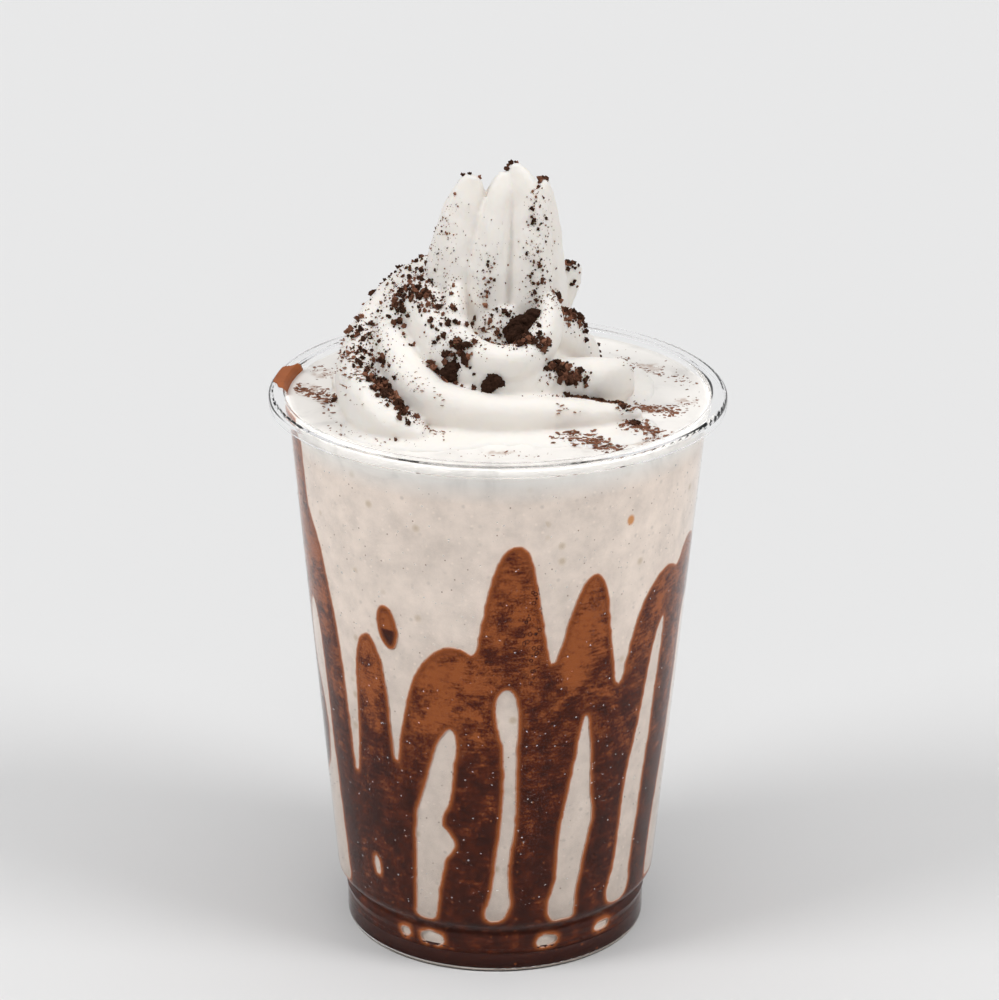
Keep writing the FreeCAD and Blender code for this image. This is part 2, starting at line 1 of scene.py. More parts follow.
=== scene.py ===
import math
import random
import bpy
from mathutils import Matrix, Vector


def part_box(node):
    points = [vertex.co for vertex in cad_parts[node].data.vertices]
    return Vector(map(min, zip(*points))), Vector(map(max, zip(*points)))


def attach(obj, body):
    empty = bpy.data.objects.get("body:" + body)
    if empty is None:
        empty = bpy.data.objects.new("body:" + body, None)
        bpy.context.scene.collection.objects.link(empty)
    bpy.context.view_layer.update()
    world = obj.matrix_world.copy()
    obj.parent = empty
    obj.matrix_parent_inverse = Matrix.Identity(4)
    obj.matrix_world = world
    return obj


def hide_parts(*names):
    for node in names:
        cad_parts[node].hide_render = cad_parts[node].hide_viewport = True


bl_info = {
    "name": "Frappe maker",
    "version": (1, 0, 0),
    "blender": (4, 5, 0),
    "location": "View3D > Sidebar > Frappe",
    "description": "Dresses a frappe in a clear tumbler: drink, sauce, cream, crumbs and dew",
    "category": "Object",
}

import bmesh
import bpy
from bpy.props import FloatProperty, FloatVectorProperty, IntProperty, PointerProperty
from mathutils import Euler, Matrix, Vector, noise
from mathutils.bvhtree import BVHTree
from mathutils.kdtree import KDTree

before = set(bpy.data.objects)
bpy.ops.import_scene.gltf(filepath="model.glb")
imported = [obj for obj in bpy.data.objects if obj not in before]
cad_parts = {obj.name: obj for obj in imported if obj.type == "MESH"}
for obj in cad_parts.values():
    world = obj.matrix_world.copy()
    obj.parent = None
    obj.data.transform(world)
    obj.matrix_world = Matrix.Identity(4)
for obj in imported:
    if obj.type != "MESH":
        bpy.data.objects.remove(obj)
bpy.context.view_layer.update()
MM = 0.001
DRINK_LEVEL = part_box("milkshake")[1].z / MM
CUP_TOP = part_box("tumbler")[1].z / MM

# In millimetres: vertices this near are one, and one radian of bearing on the sauce's own map.
WELD = 0.0005
MAP_RADIUS = 42
WHITE = (1.0, 1.0, 1.0, 1.0)

# The tumbler's inner face, as (height, radius) in millimetres from the foot to the rim.
INNER_WALL = (
    (0.6, 32.3), (6.9, 32.3), (8.1, 32.6), (9.3, 31.9), (12.4, 34.1), (13.5, 34.5), (116.8, 44),
    (120.2, 45.1),
    (CUP_TOP, 45.1),
)

# The straight part of the wall runs from the first of these to the second.
STRAIGHT_LOW, STRAIGHT_HIGH = INNER_WALL[5:7]
STRAIGHT_RISE = STRAIGHT_HIGH[0] - STRAIGHT_LOW[0]
WALL_THICKNESS = 0.6

# The drink's open top: how far out it is level and rippled, and where it meets the wall.
LEVEL_RADIUS = 44.4
RIPPLED_RADIUS = 44.5
MENISCUS_RADIUS = 44.95

# The sauce's upper outline round the front, as (bearing, height).
SKYLINE = (
    (-98, 84), (-92, 96), (-86, 100.5), (-81.6, 102), (-81, 108), (-80.6, 124), (-79, 125.5),
    (-70, 125.5), (-68.8, 122), (-68.5, 112), (-68.3, 103.5), (-67, 101.3), (-65, 99), (-62, 95),
    (-60.3, 90), (-58.6, 85), (-57, 80), (-55.8, 74), (-54.6, 67), (-54, 60), (-53, 50),
    (-52.6, 44), (-52.2, 41.2), (-51.8, 44), (-50.4, 50), (-49.4, 57), (-48.8, 65), (-48.2, 70),
    (-47.3, 74), (-45.2, 77.6), (-42, 79.2), (-39.2, 77.6), (-37.1, 74), (-35.9, 70), (-35, 64),
    (-34.3, 56), (-33.9, 51), (-33.4, 49.4), (-32.9, 51), (-31.8, 56), (-30.2, 61), (-28.4, 66.4),
    (-26.4, 70.6), (-23.8, 74.2), (-20.4, 77.4), (-16.4, 79.3), (-12.6, 79.9), (-9, 79.2),
    (-6.7, 78.4), (-6, 80.4), (-4.8, 85), (-3.4, 90), (-2, 95), (0, 99.6), (2.6, 102.8), (6, 104),
    (8.6, 103), (10.2, 100), (11.7, 95), (12.8, 90), (14, 85), (15.4, 80), (16.4, 76.4), (17, 75.2),
    (17.7, 76.4), (19.3, 80), (21.2, 85.4), (23.4, 90.2), (25.6, 93.6), (28.8, 95.6), (31.6, 94.4),
    (33.7, 91), (35, 85.6), (36.3, 80), (37.7, 75), (39, 70.4), (40, 67.2), (40.6, 66.2),
    (41.2, 67.6), (42.4, 72), (43.6, 76), (45.2, 80.4), (47.6, 84.6), (51, 88.2), (55, 90.6),
    (58.8, 91.5), (62.6, 91), (65.6, 90), (67.6, 91.4), (70.6, 94), (74.4, 95), (79, 94),
    (84, 91.6), (91, 89.4), (98, 88),
)

# Partings in the front of the sauce, where the drink shows, as (height, left and right bearing).
PARTINGS = (
    (
        (13, -80, -70), (14.5, -84, -65.2), (20, -86, -65.4), (28, -87, -66), (34, -84, -66.6),
        (40, -74.5, -67), (46, -71.6, -67.8), (52, -71.4, -68), (58, -74, -68.2), (64, -78, -68.6),
        (70, -79, -69.2), (75, -78, -70.4), (78.5, -75.6, -72.2), (79.4, -74.2, -73.6),
    ),
    (
        (19, -45.3, -44.5), (20, -46, -44.2), (22.5, -46.8, -44.6), (24.2, -46.6, -45.2),
        (24.8, -46, -45.6),
    ),
    (
        (12.9, -26.5, -23), (13.6, -28.6, -21.6), (15.5, -28.4, -21), (20, -28, -20.2),
        (25, -27.6, -18.6), (28.6, -27.4, -17.2), (30.4, -27.3, -15.2), (32.2, -27.2, -14),
        (33.6, -27.2, -14.4), (35.2, -27, -16.6), (37, -26.8, -18.2), (39.6, -26.2, -17.6),
        (42.4, -24.8, -15.5), (46, -23, -14.4), (50, -21.2, -14), (54, -19.6, -13.1),
        (57, -18, -12.7), (59.2, -16, -13), (60.2, -14.8, -13.8),
    ),
    (
        (13.8, -1.6, 1.2), (14.6, -3.1, 3), (16.4, -3.2, 4.2), (18.2, -1.9, 4.7), (22, -0.7, 4.4),
        (26, 0.1, 4.2), (30, 0.6, 4.6), (36, 1.8, 5.9), (40, 2.2, 6.2), (46, 2.8, 6.2),
        (52, 2.8, 6.2), (56, 2.4, 6.3), (60, 1.2, 6.6), (64, 0.1, 6.7), (67.2, 0.2, 6.1),
        (69.2, 1.4, 5), (70.2, 2.8, 3.8),
    ),
    (
        (12.6, 22.4, 27.4), (13.2, 20.6, 28.6), (15, 19.4, 28.8), (17.8, 19.4, 28.9),
        (20, 20.5, 29.2), (23, 21.6, 30), (28, 21.8, 31), (33, 22.2, 32.4), (36.4, 22.6, 33.2),
        (39.4, 23.2, 33.4), (42.4, 24, 32.6), (46, 25, 31.8), (50, 26, 31.6), (54, 26.8, 31.1),
        (58, 27.4, 30.4), (61, 28.3, 29.8), (62.4, 28.9, 29.2),
    ),
    (
        (13, 47.4, 51), (13.8, 45, 53.6), (15.6, 43.9, 54.7), (18, 44.1, 54.8), (20.6, 45.4, 54.6),
        (24.6, 46.5, 54.7), (30, 47, 55.6), (36, 47.3, 56.4), (42, 47.9, 57), (48, 49.2, 57.8),
        (54, 51.1, 58.4), (60, 52.8, 58.7), (66, 53.8, 59.4), (72, 55.4, 60), (76, 57, 60.2),
        (78.8, 58.8, 60.1), (79.6, 59.4, 59.8),
    ),
    (
        (14, 70.4, 79), (15.4, 69, 82), (22, 69.2, 83), (30, 70.2, 84.4), (40, 72.6, 85),
        (50, 75, 86), (60, 76.4, 87), (68, 76.8, 87.4), (74, 77, 87), (77.4, 78.4, 85.8),
        (79, 81, 84),
    ),
)

# Round the back: bearing, crest height, spread left and right 30 mm below it, power of the spread.
TONGUES = (
    (98, 88, 11, 14, 0.35), (122, 76, 12, 10, 0.3), (148, 99, 15, 11, 0.38),
    (172, 84, 10, 13, 0.33), (196, 72, 13, 9, 0.3), (222, 92, 14, 15, 0.38),
    (246, 80, 11, 12, 0.35), (262, 86, 11, 12, 0.3),
)

# Partings round the back: bearing at the foot and the tip, bow, foot and tip heights, half width,
# and the share of it that the tip loses.
BACK_PARTINGS = (
    (100, 96, 1, 16, 58, 4.4, 0.5), (124, 129, 0, 14, 46, 3.2, 0.4),
    (147, 143, -1, 15, 74, 4.8, 0.7), (171, 176, 0, 13.5, 52, 3.4, 0.3),
    (193, 190, 1, 17, 44, 4.2, 0.5), (214, 220, 0, 14, 66, 4.6, 0.6),
    (240, 237, -1, 16, 60, 3, 0.3), (260, 257, 0, 15, 48, 4, 0.5),
)

# Gaps in the foot, where the drink shows below the sauce: bearing, height, half widths.
FOOT_GAPS = (
    (-36.3, 7.1, 2.5, 1), (-24.4, 6.9, 4.9, 1.5), (20.4, 7, 4.3, 1.3), (45.4, 7.1, 4.1, 1.1),
    (-1, 7.8, 0.9, 0.4), (118, 7, 4, 1.2), (166, 7.2, 3, 1), (232, 7, 4.6, 1.3),
)
# The drop on the wall: bearing, height, half widths.
DROPLET = (-34, 82, 3.8, 5.3)
CURTAIN_HEIGHT = 40

# The sauce lies on the wall as a film this thick, from this height up, reaching this much further
# into the wall than the drink does. Below the top of the foot the drink stands back from it.
FILM = 0.55
SMEAR_THICKNESS = 0.25
FILM_FOOT = 4.6
FILM_REACH = 0.12
FOOT_TOP = 13.0
FOOT_SET_BACK = 0.3

# The sauce that fills the foot, as (radius, height) round its outline.
POOL = ((0, 3.45), (25.2, 3.45), (27.9, 0.45), (31.6, 0.45), (32.45, 1.3), (32.55, 5.8), (0, 5.8))

# How far the middle of a rope lies in from its crest, and below it, as a share of its half sizes.
CREST_SHARE = 0.7


def under_crest(*crests):
    """A rope's middles from places on its crest: in and down by a share of its half sizes."""
    stations = []
    for x, y, z, half_width, half_height in crests:
        inwards = 1 - CREST_SHARE * half_width / math.hypot(x, y)
        middle = (x * inwards, y * inwards, z - CREST_SHARE * half_height)
        stations.append((*(round(part, 1) for part in middle), half_width, half_height))
    return tuple(stations)


# Ropes of cream: (x, y, z, half width, half height) in millimetres along each rope, read along its
# crest where under_crest takes it to the middle, and along the middle elsewhere.
OUTER_BAND = under_crest(
    (-15.5, -31.5, 123.6, 2, 1.4), (-19, -30.5, 125.3, 3.6, 3), (-23.8, -28.4, 126.9, 4.8, 4.4),
    (-28.5, -24, 129, 5.2, 5.4), (-31.9, -15, 132, 5.6, 6.4), (-31.4, -6, 136, 5.9, 7.4),
    (-27.6, 3, 140.1, 6.3, 8.4), (-21.9, 10, 143.6, 6.8, 9), (-14.6, 15.5, 145, 7.2, 9.4),
    (-5, 18.5, 143.5, 7, 8.6),
)
FRONT_BAND = under_crest(
    (30.8, -16.5, 124, 1, 0.8), (28.1, -18.6, 125, 2.2, 1.9), (21.3, -22.4, 126.5, 3.8, 3.4),
    (12.9, -25, 127.5, 4.6, 4.3), (0.5, -26.4, 128, 5, 4.7), (-11.9, -25.4, 129.9, 5.4, 5.4),
    (-19.2, -22, 132.7, 5.8, 6), (-23.6, -14, 136.1, 6, 6.4), (-24.8, -6, 139.3, 6.2, 6.8),
    (-22.4, 2, 142.7, 6.4, 7.2), (-15.6, 9, 145.6, 6.6, 7.4), (-5, 12.5, 145.5, 6.2, 7),
)
INNER_BAND = under_crest(
    (30.2, -5.6, 129.6, 2.4, 3.4), (28, -7.6, 130.6, 4.4, 4.8), (21.5, -12.6, 131.8, 5.2, 5.4),
    (13, -17, 132.8, 5.4, 5.4), (4.7, -19.4, 132.8, 5.4, 5.2), (-3.7, -20, 134.2, 5.4, 5.4),
    (-9.9, -18.6, 137.7, 5.6, 5.8), (-15.1, -14, 141.6, 5.8, 6), (-18.4, -7, 145.2, 6, 6.2),
    (-16.4, 1, 148, 6, 6.4), (-10, 6.5, 149.2, 5.6, 6),
)
SHOULDER = under_crest(
    (6, -11, 141, 2.6, 3), (11, -7.5, 141.4, 4.2, 4.4), (16.4, -1.4, 138.6, 5, 5.2),
) + (
    (14.5, 3.4, 131.5, 5, 5.2), (17.5, 10.5, 125.8, 4.6, 4.6), (14.4, 19.7, 124.6, 4.4, 4.2),
    (6, 26, 123.8, 3.6, 3), (-5, 29, 123.4, 1.4, 1),
)
REAR_BAND = under_crest(
    (9.5, 5, 148, 4, 5), (10.5, 13.5, 145, 5.4, 6), (2, 20.5, 140.5, 6, 6.6),
    (-11, 24.5, 136, 6, 6.4), (-22.5, 21.5, 132, 5.8, 5.8), (-30.5, 13, 128.6, 5, 4.8),
    (-34.4, 3.5, 126, 3.4, 3), (-35, -2.5, 124.2, 1.4, 1),
)
BOWL_LIP = (
    (-8.6, -5.4, 147.6, 1.4, 1.8), (-9.4, -8.6, 145, 2.6, 2.8), (-9.4, -12.2, 141, 3.3, 3.3),
    (-6.4, -16.4, 137, 3.9, 3.8), (-0.6, -18.4, 135, 4.3, 4), (5.2, -17.2, 135.4, 4.2, 4),
    (9, -12.8, 138.2, 3.8, 3.8), (10.6, -8.6, 142.2, 3, 3.2), (10.4, -5.6, 146.4, 1.6, 1.9),
)

# Leaves of cream drawn up to the tips: (x, y, z, half width, half depth), and a turn in degrees.
LEAVES = (
    (10, (
        (-6.5, -1.5, 130, 9, 7.5), (-8.6, -2.2, 139, 8, 6.4), (-9, -2, 147, 6.9, 5.4),
        (-8.6, -1.6, 155, 5.9, 4.4), (-7.4, -1, 162, 4.8, 3.2), (-6.2, -0.6, 167.5, 3.4, 2),
        (-5.4, -0.4, 170.6, 1.6, 0.9),
    )),
    (-6, (
        (-2.2, -3.5, 131, 5, 5), (-2.8, -5, 139, 4.8, 4.2), (-2.4, -5.2, 148, 4.3, 3.6),
        (-1.6, -4.6, 156, 3.7, 3), (-0.6, -3.4, 163, 3, 2.4), (0.4, -2.2, 168.5, 2.2, 1.6),
        (1, -1.4, 171.6, 1, 0.8),
    )),
    (-14, (
        (6.2, -3, 131, 6.2, 5.6), (6.4, -4.2, 140, 5.4, 4.8), (6.4, -4.4, 149, 4.9, 4),
        (6.4, -3.8, 157, 4.6, 3.4), (5.8, -2.6, 164, 4.4, 2.6), (4.2, -1.4, 169.4, 3.2, 1.8),
        (2.4, -0.6, 173.2, 1.2, 0.8),
    )),
    (-40, (
        (9, 0, 131, 5.6, 6), (9.6, -0.5, 141, 4.6, 5.6), (9.6, -0.5, 151, 3.6, 5),
        (9.4, -0.4, 160, 3, 3.8), (9.2, -0.2, 166, 2.2, 2.4), (9.6, 0, 169.6, 0.8, 0.8),
    )),
    (4, (
        (0, 5, 130, 10, 6.5), (0, 4, 142, 8.4, 5.4), (0.2, 3, 152, 7.2, 4.4),
        (0.8, 2, 161, 5.6, 3.4), (1.4, 1.2, 168, 3.2, 2.2), (1.8, 0.8, 171, 1, 0.8),
    )),
    (24, (
        (11, 4, 134, 3.2, 2.8), (12.6, 4.6, 140.5, 3.4, 1.7), (14.4, 5.2, 145.5, 3.5, 1),
        (15.4, 5.6, 148.8, 3.2, 0.6), (15.6, 5.6, 149.4, 2.4, 0.4),
    )),
)

# The large pieces of cookie: node, middle, size, lean in degrees, and seed.
LUMPS = (
    ("cookie_piece_1", (4.8, -12.6, 141.2), (8.6, 4.6, 4.6), -34, 11),
    ("cookie_piece_2", (-8.4, -20.2, 134.2), (5.6, 4.8, 5.4), 10, 12),
    ("cookie_piece_3", (-0.8, -21.6, 132.4), (4.2, 3.8, 4.8), 0, 13),
)

# Brown smears on top of the drink: (x, y, half width, half depth).
SMEARS = (
    (-41, 3, 3.4, 5.4), (-36, -4, 4, 4.2), (-38, 13, 3, 4), (-41, 22, 2.4, 3.4), (-31, -13, 3.2, 5),
    (32, -8.5, 6, 3.4), (40, -3, 3, 3), (31, -28, 4, 2.4), (19, -30, 7, 4.4), (-15, -25.5, 5, 3.4),
    (0.5, -35, 4, 1.6), (32, 19, 5, 4),
)

# The cream that spread on the drink: (x, y, half width, half depth, rise).
SPREAD = (
    (0, -2, 31, 30, 3.6), (-14, -22, 19, 13, 2.6), (14, -20, 20, 13, 2.2), (-24, -4, 13, 20, 2.6),
    (20, 6, 14, 20, 2.6), (0, 16, 26, 18, 3),
)


# ---------------------------------------------------------------- settings


def colour_setting(name, description, colour):
    """A colour."""
    return FloatVectorProperty(
        name=name, description=description, subtype="COLOR", size=3, default=colour
    )


def length_setting(name, description, metres):
    """A small length, in metres."""
    return FloatProperty(
        name=name, description=description, default=metres, unit="LENGTH", precision=5
    )


def share_setting(name, description, share):
    """A share, from 0 to 1."""
    return FloatProperty(
        name=name, description=description, default=share, min=0.0, max=1.0, subtype="FACTOR"
    )


def count_setting(name, description, count):
    """A count, from 0 up."""
    return IntProperty(name=name, description=description, default=count, min=0)


class FrappeTumblerSettings(bpy.types.PropertyGroup):
    """The clear tumbler and the dew on it"""

    roughness: share_setting("Misted roughness", "Roughness of the wall where it is misted", 0.09)
    gloss: share_setting("Gloss", "How strongly the plastic mirrors the room", 0.3)
    dew_drops: count_setting("Dew drops", "How many drops of dew cling to the outside", 2600)
    dew_radius: length_setting("Dew radius", "Radius of the largest drops of dew", 0.0002)


class FrappeDrinkSettings(bpy.types.PropertyGroup):
    """The blended drink"""

    side_colour: colour_setting("Drink", "The drink against the wall", (0.84, 0.735, 0.655))
    foam_colour: colour_setting("Foam", "The drink's open top", (0.90, 0.87, 0.83))
    reach: length_setting("Reach", "How far the drink reaches into the tumbler's wall", 0.00012)


class FrappeSauceSettings(bpy.types.PropertyGroup):
    """The chocolate sauce on the wall"""

    deep_colour: colour_setting("Deep sauce", "Where the sauce is thick", (0.036, 0.010, 0.007))
    middle_colour: colour_setting("Sauce", "Between thin and thick", (0.10, 0.020, 0.008))
    edge_colour: colour_setting("Thin sauce", "Along its thin edges", (0.40, 0.115, 0.032))
    edge_width: length_setting("Edge width", "How far in the sauce gets its full depth", 0.0018)


class FrappeCreamSettings(bpy.types.PropertyGroup):
    """The piped cream"""

    colour: colour_setting("Cream", "The whipped cream", (0.93, 0.885, 0.83))
    voxel: length_setting("Voxel", "Voxels that the ropes of cream are merged at", 0.0005)
    smoothing: count_setting("Smoothing", "Passes of smoothing over the merged cream", 3)


class FrappeCrumbSettings(bpy.types.PropertyGroup):
    """The cookie crumbs"""

    colour: colour_setting("Cookie", "The chocolate cookie", (0.055, 0.024, 0.014))
    seed: count_setting("Seed", "Seed of the scatter", 7)


class FrappeStudioSettings(bpy.types.PropertyGroup):
    """The floor, the lamps and the camera"""

    floor_colour: colour_setting("Floor", "The floor", (0.80, 0.80, 0.80))
    lens: FloatProperty(name="Lens", description="Focal length in millimetres", default=143.57)


# ---------------------------------------------------------------- shared helpers


def inner_radius(height):
    """Radius of the tumbler's inner face at a height, in millimetres."""
    below = INNER_WALL[0]
    for above in INNER_WALL[1:]:
        if height <= above[0]:
            share = (height - below[0]) / (above[0] - below[0])
            return below[1] + max(share, 0.0) * (above[1] - below[1])
        below = above
    return below[1]


def on_bearing(radius, bearing, height):
    """The point at a radius and bearing; 0 is the front, -Y."""
    turn = math.radians(bearing)
    return Vector((radius * math.sin(turn), -radius * math.cos(turn), height))


def eased(stations, share):
    """Stations read a share of the way along, on a smooth curve through each figure."""
    position = share * (len(stations) - 1)
    index = min(int(position), len(stations) - 2)
    t = position - index
    before = stations[max(index - 1, 0)]
    here = stations[index]
    there = stations[index + 1]
    after = stations[min(index + 2, len(stations) - 1)]
    return [
        0.5
        * (
            2.0 * b
            + (c - a) * t
            + (2.0 * a - 5.0 * b + 4.0 * c - d) * t * t
            + (3.0 * b - a - 3.0 * c + d) * t ** 3
        )
        for a, b, c, d in zip(before, here, there, after)
    ]


def finish_piece(bm, name, material, replaced=(), smooth=True):
    """Turns a bmesh in millimetres into a piece on the frame."""
    bmesh.ops.scale(bm, vec=(MM, MM, MM), verts=bm.verts)
    mesh = bpy.data.meshes.new(name)
    bm.to_mesh(mesh)
    bm.free()
    piece = bpy.data.objects.new(name, mesh)
    bpy.context.scene.collection.objects.link(piece)
    mesh.materials.append(material)
    mesh.polygons.foreach_set("use_smooth", [smooth] * len(mesh.polygons))
    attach(piece, "root")
    if replaced:
        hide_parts(*replaced)


def merged_by_voxels(bm, voxel, passes, *waves):
    """Everything in bm merged by a voxel remesh, smoothed, and swollen by waves of noise, each
    of them (depth, rate).
    """
    rough = bpy.data.meshes.new("rough")
    bm.to_mesh(rough)
    bm.free()
    holder = bpy.data.objects.new("rough", rough)
    bpy.context.scene.collection.objects.link(holder)
    remesh = holder.modifiers.new("merge", "REMESH")
    remesh.mode = "VOXEL"
    remesh.voxel_size = voxel
    soften = holder.modifiers.new("soften", "SMOOTH")
    soften.factor = 0.5
    soften.iterations = passes
    graph = bpy.context.evaluated_depsgraph_get()
    merged = bpy.data.meshes.new_from_object(holder.evaluated_get(graph))
    bpy.data.objects.remove(holder)
    bpy.data.meshes.remove(rough)
    bm = bmesh.new()
    bm.from_mesh(merged)
    bpy.data.meshes.remove(merged)
    bm.normal_update()
    for vert in bm.verts:
        swell = sum(depth * noise.noise(vert.co * rate) for depth, rate in waves)
        vert.co += vert.normal * swell
    return bm


def spun(outline, steps):
    """A mesh made by turning an outline of (radius, height) about the axis."""
    bm = bmesh.new()
    verts = [bm.verts.new((radius, 0, height)) for radius, height in outline]
    edges = [bm.edges.new(pair) for pair in zip(verts, verts[1:])]
    bmesh.ops.spin(
        bm,
        geom=verts + edges,
        cent=(0, 0, 0),
        axis=(0, 0, 1),
        dvec=(0, 0, 0),
        angle=2 * math.pi,
        steps=steps,
        use_merge=True,
    )
    bmesh.ops.remove_doubles(bm, verts=bm.verts, dist=WELD)
    return bm


def other_side(bm):
    """Extrudes a whole sheet, and gives the vertices of its other side."""
    back = bmesh.ops.extrude_face_region(bm, geom=list(bm.faces))
    return [vert for vert in back["geom"] if isinstance(vert, bmesh.types.BMVert)]


# ---------------------------------------------------------------- materials


def new_material(name, inputs):
    """A node material with these inputs on its Principled BSDF."""
    material = bpy.data.materials.new(name)
    material.use_nodes = True
    tree = material.node_tree
    shader = tree.nodes["Principled BSDF"]
    for key, value in inputs.items():
        shader.inputs[key].default_value = value
    return material, tree, shader


def add_node(tree, kind, inputs=None, **settings):
    """A node with its settings and plain input values."""
    node = tree.nodes.new(kind)
    for key, value in settings.items():
        setattr(node, key, value)
    for key, value in (inputs or {}).items():
        node.inputs[key].default_value = value
    return node


def set_input(tree, socket, value):
    """Gives an input a socket to read, or a plain value."""
    if isinstance(value, bpy.types.NodeSocket):
        tree.links.new(value, socket)
    else:
        socket.default_value = value


def object_coordinates(tree):
    """The Object output of Texture Coordinate, and its height alone."""
    vector = add_node(tree, "ShaderNodeTexCoord").outputs["Object"]
    parts = add_node(tree, "ShaderNodeSeparateXYZ")
    tree.links.new(vector, parts.inputs[0])
    return vector, parts.outputs["Z"]


def attribute(tree, name, output="Fac"):
    """What a layer of the mesh says."""
    return add_node(tree, "ShaderNodeAttribute", attribute_name=name).outputs[output]


def cloud(tree, vector, scale, detail, roughness=0.5, distortion=0.0):
    """A noise texture."""
    inputs = {"Scale": scale, "Detail": detail, "Roughness": roughness, "Distortion": distortion}
    node = add_node(tree, "ShaderNodeTexNoise", inputs)
    tree.links.new(vector, node.inputs["Vector"])
    return node.outputs["Fac"]


def ranged(tree, value, low, high, to_low=0.0, to_high=1.0, **settings):
    """A value taken from one range to another."""
    inputs = {"From Min": low, "From Max": high, "To Min": to_low, "To Max": to_high}
    node = add_node(tree, "ShaderNodeMapRange", inputs, **settings)
    tree.links.new(value, node.inputs["Value"])
    return node.outputs["Result"]


def colour_ramp(tree, factor, *stops):
    """A colour ramp over (position, colour) stops."""
    node = add_node(tree, "ShaderNodeValToRGB")
    ramp = node.color_ramp
    while len(ramp.elements) < len(stops):
        ramp.elements.new(0.5)
    for element, (position, colour) in zip(ramp.elements, stops):
        element.position = position
        element.color = (*colour, 1.0)
    tree.links.new(factor, node.inputs["Fac"])
    return node.outputs["Color"]


def mixed(tree, factor, first, second, blend="MIX"):
    """A colour mix; the factor and the two colours are sockets or plain values."""
    node = add_node(tree, "ShaderNodeMix", data_type="RGBA", blend_type=blend)
    set_input(tree, node.inputs[0], factor)
    for place, colour in ((6, first), (7, second)):
        if not isinstance(colour, bpy.types.NodeSocket):
            colour = (*colour, 1.0)
        set_input(tree, node.inputs[place], colour)
    return node.outputs[2]


def maths(tree, operation, *operands, clamp=False):
    """A Math node; each operand is a socket or a number."""
    node = add_node(tree, "ShaderNodeMath", operation=operation, use_clamp=clamp)
    for socket, operand in zip(node.inputs, operands):
        set_input(tree, socket, operand)
    return node.outputs[0]


def product(tree, first, *others):
    """Several values multiplied, from the left."""
    for other in others:
        first = maths(tree, "MULTIPLY", first, other)
    return first


def bumped(tree, height, strength, distance):
    """A Bump node's normal from a height socket."""
    node = add_node(tree, "ShaderNodeBump", {"Strength": strength, "Distance": distance})
    tree.links.new(height, node.inputs["Height"])
    return node.outputs["Normal"]


def mask_group(name, **inputs):
    """A node group with these inputs and a Mask, its inlet and its outlet."""
    group = bpy.data.node_groups.new(name, "ShaderNodeTree")
    for socket, kind in inputs.items():
        group.interface.new_socket(socket, in_out="INPUT", socket_type="NodeSocket" + kind)
    group.interface.new_socket("Mask", in_out="OUTPUT", socket_type="NodeSocketFloat")
    return group, group.nodes.new("NodeGroupInput"), group.nodes.new("NodeGroupOutput")


def speckle_group():
    """Specks at random places as a mask: used by the drink and the sauce."""
    group, inlet, outlet = mask_group("Specks", Vector="Vector", Scale="Float", Amount="Float")
    cells = add_node(group, "ShaderNodeTexVoronoi", feature="F1")
    group.links.new(inlet.outputs["Vector"], cells.inputs["Vector"])
    group.links.new(inlet.outputs["Scale"], cells.inputs["Scale"])
    near = maths(group, "SUBTRACT", 0.34, cells.outputs["Distance"])
    sharp = maths(group, "MULTIPLY", near, 4.5, clamp=True)
    pick = add_node(group, "ShaderNodeSeparateColor")
    group.links.new(cells.outputs["Color"], pick.inputs["Color"])
    chosen = maths(group, "LESS_THAN", pick.outputs["Red"], inlet.outputs["Amount"])
    group.links.new(product(group, sharp, chosen), outlet.inputs["Mask"])
    return group


def patch_group():
    """A soft round patch as a mask, 1 at its centre: for stains, bubbles and painted sheen."""
    group, inlet, outlet = mask_group("Patch", Vector="Vector", Centre="Vector", Size="Vector")
    place = inlet.outputs["Vector"]
    for operation, socket in (("SUBTRACT", "Centre"), ("DIVIDE", "Size")):
        step = add_node(group, "ShaderNodeVectorMath", operation=operation)
        group.links.new(place, step.inputs[0])
        group.links.new(inlet.outputs[socket], step.inputs[1])
        place = step.outputs[0]
    length = add_node(group, "ShaderNodeVectorMath", operation="LENGTH")
    group.links.new(place, length.inputs[0])
    away = length.outputs["Value"]
    fade = ranged(group, away, 0.45, 1.0, 1.0, 0.0, interpolation_type="SMOOTHSTEP")
    group.links.new(fade, outlet.inputs["Mask"])
    return group


def mask(tree, group_name, make_group, vector, inputs):
    """The mask of a node group, which is made once, placed in a material."""
    group = bpy.data.node_groups.get(group_name) or make_group()
    node = add_node(tree, "ShaderNodeGroup", inputs, node_tree=group)
    tree.links.new(vector, node.inputs["Vector"])
    return node.outputs["Mask"]


def patch(tree, vector, centre, size):
    """A Patch group placed in a material."""
    return mask(tree, "Patch", patch_group, vector, {"Centre": centre, "Size": size})


def specks(tree, vector, scale, amount):
    """A Specks group placed in a material."""
    return mask(tree, "Specks", speckle_group, vector, {"Scale": scale, "Amount": amount})


def let_lamps_through(tree, shader):
    """Lamps shine through clear plastic or water onto what is behind it."""
    lamps = add_node(tree, "ShaderNodeLightPath")
    clear = add_node(tree, "ShaderNodeBsdfTransparent")
    mix = add_node(tree, "ShaderNodeMixShader")
    tree.links.new(lamps.outputs["Is Shadow Ray"], mix.inputs[0])
    tree.links.new(shader.outputs[0], mix.inputs[1])
    tree.links.new(clear.outputs[0], mix.inputs[2])
    tree.links.new(mix.outputs[0], tree.nodes["Material Output"].inputs["Surface"])


def clear_material(name, refraction, gloss, roughness):
    """A clear material that mirrors the room by a share."""
    return new_material(name, {
        "Base Color": WHITE,
        "Transmission Weight": 1.0,
        "IOR": refraction,
        "Specular Tint": (gloss, gloss, gloss, 1.0),
        "Roughness": roughness,
    })


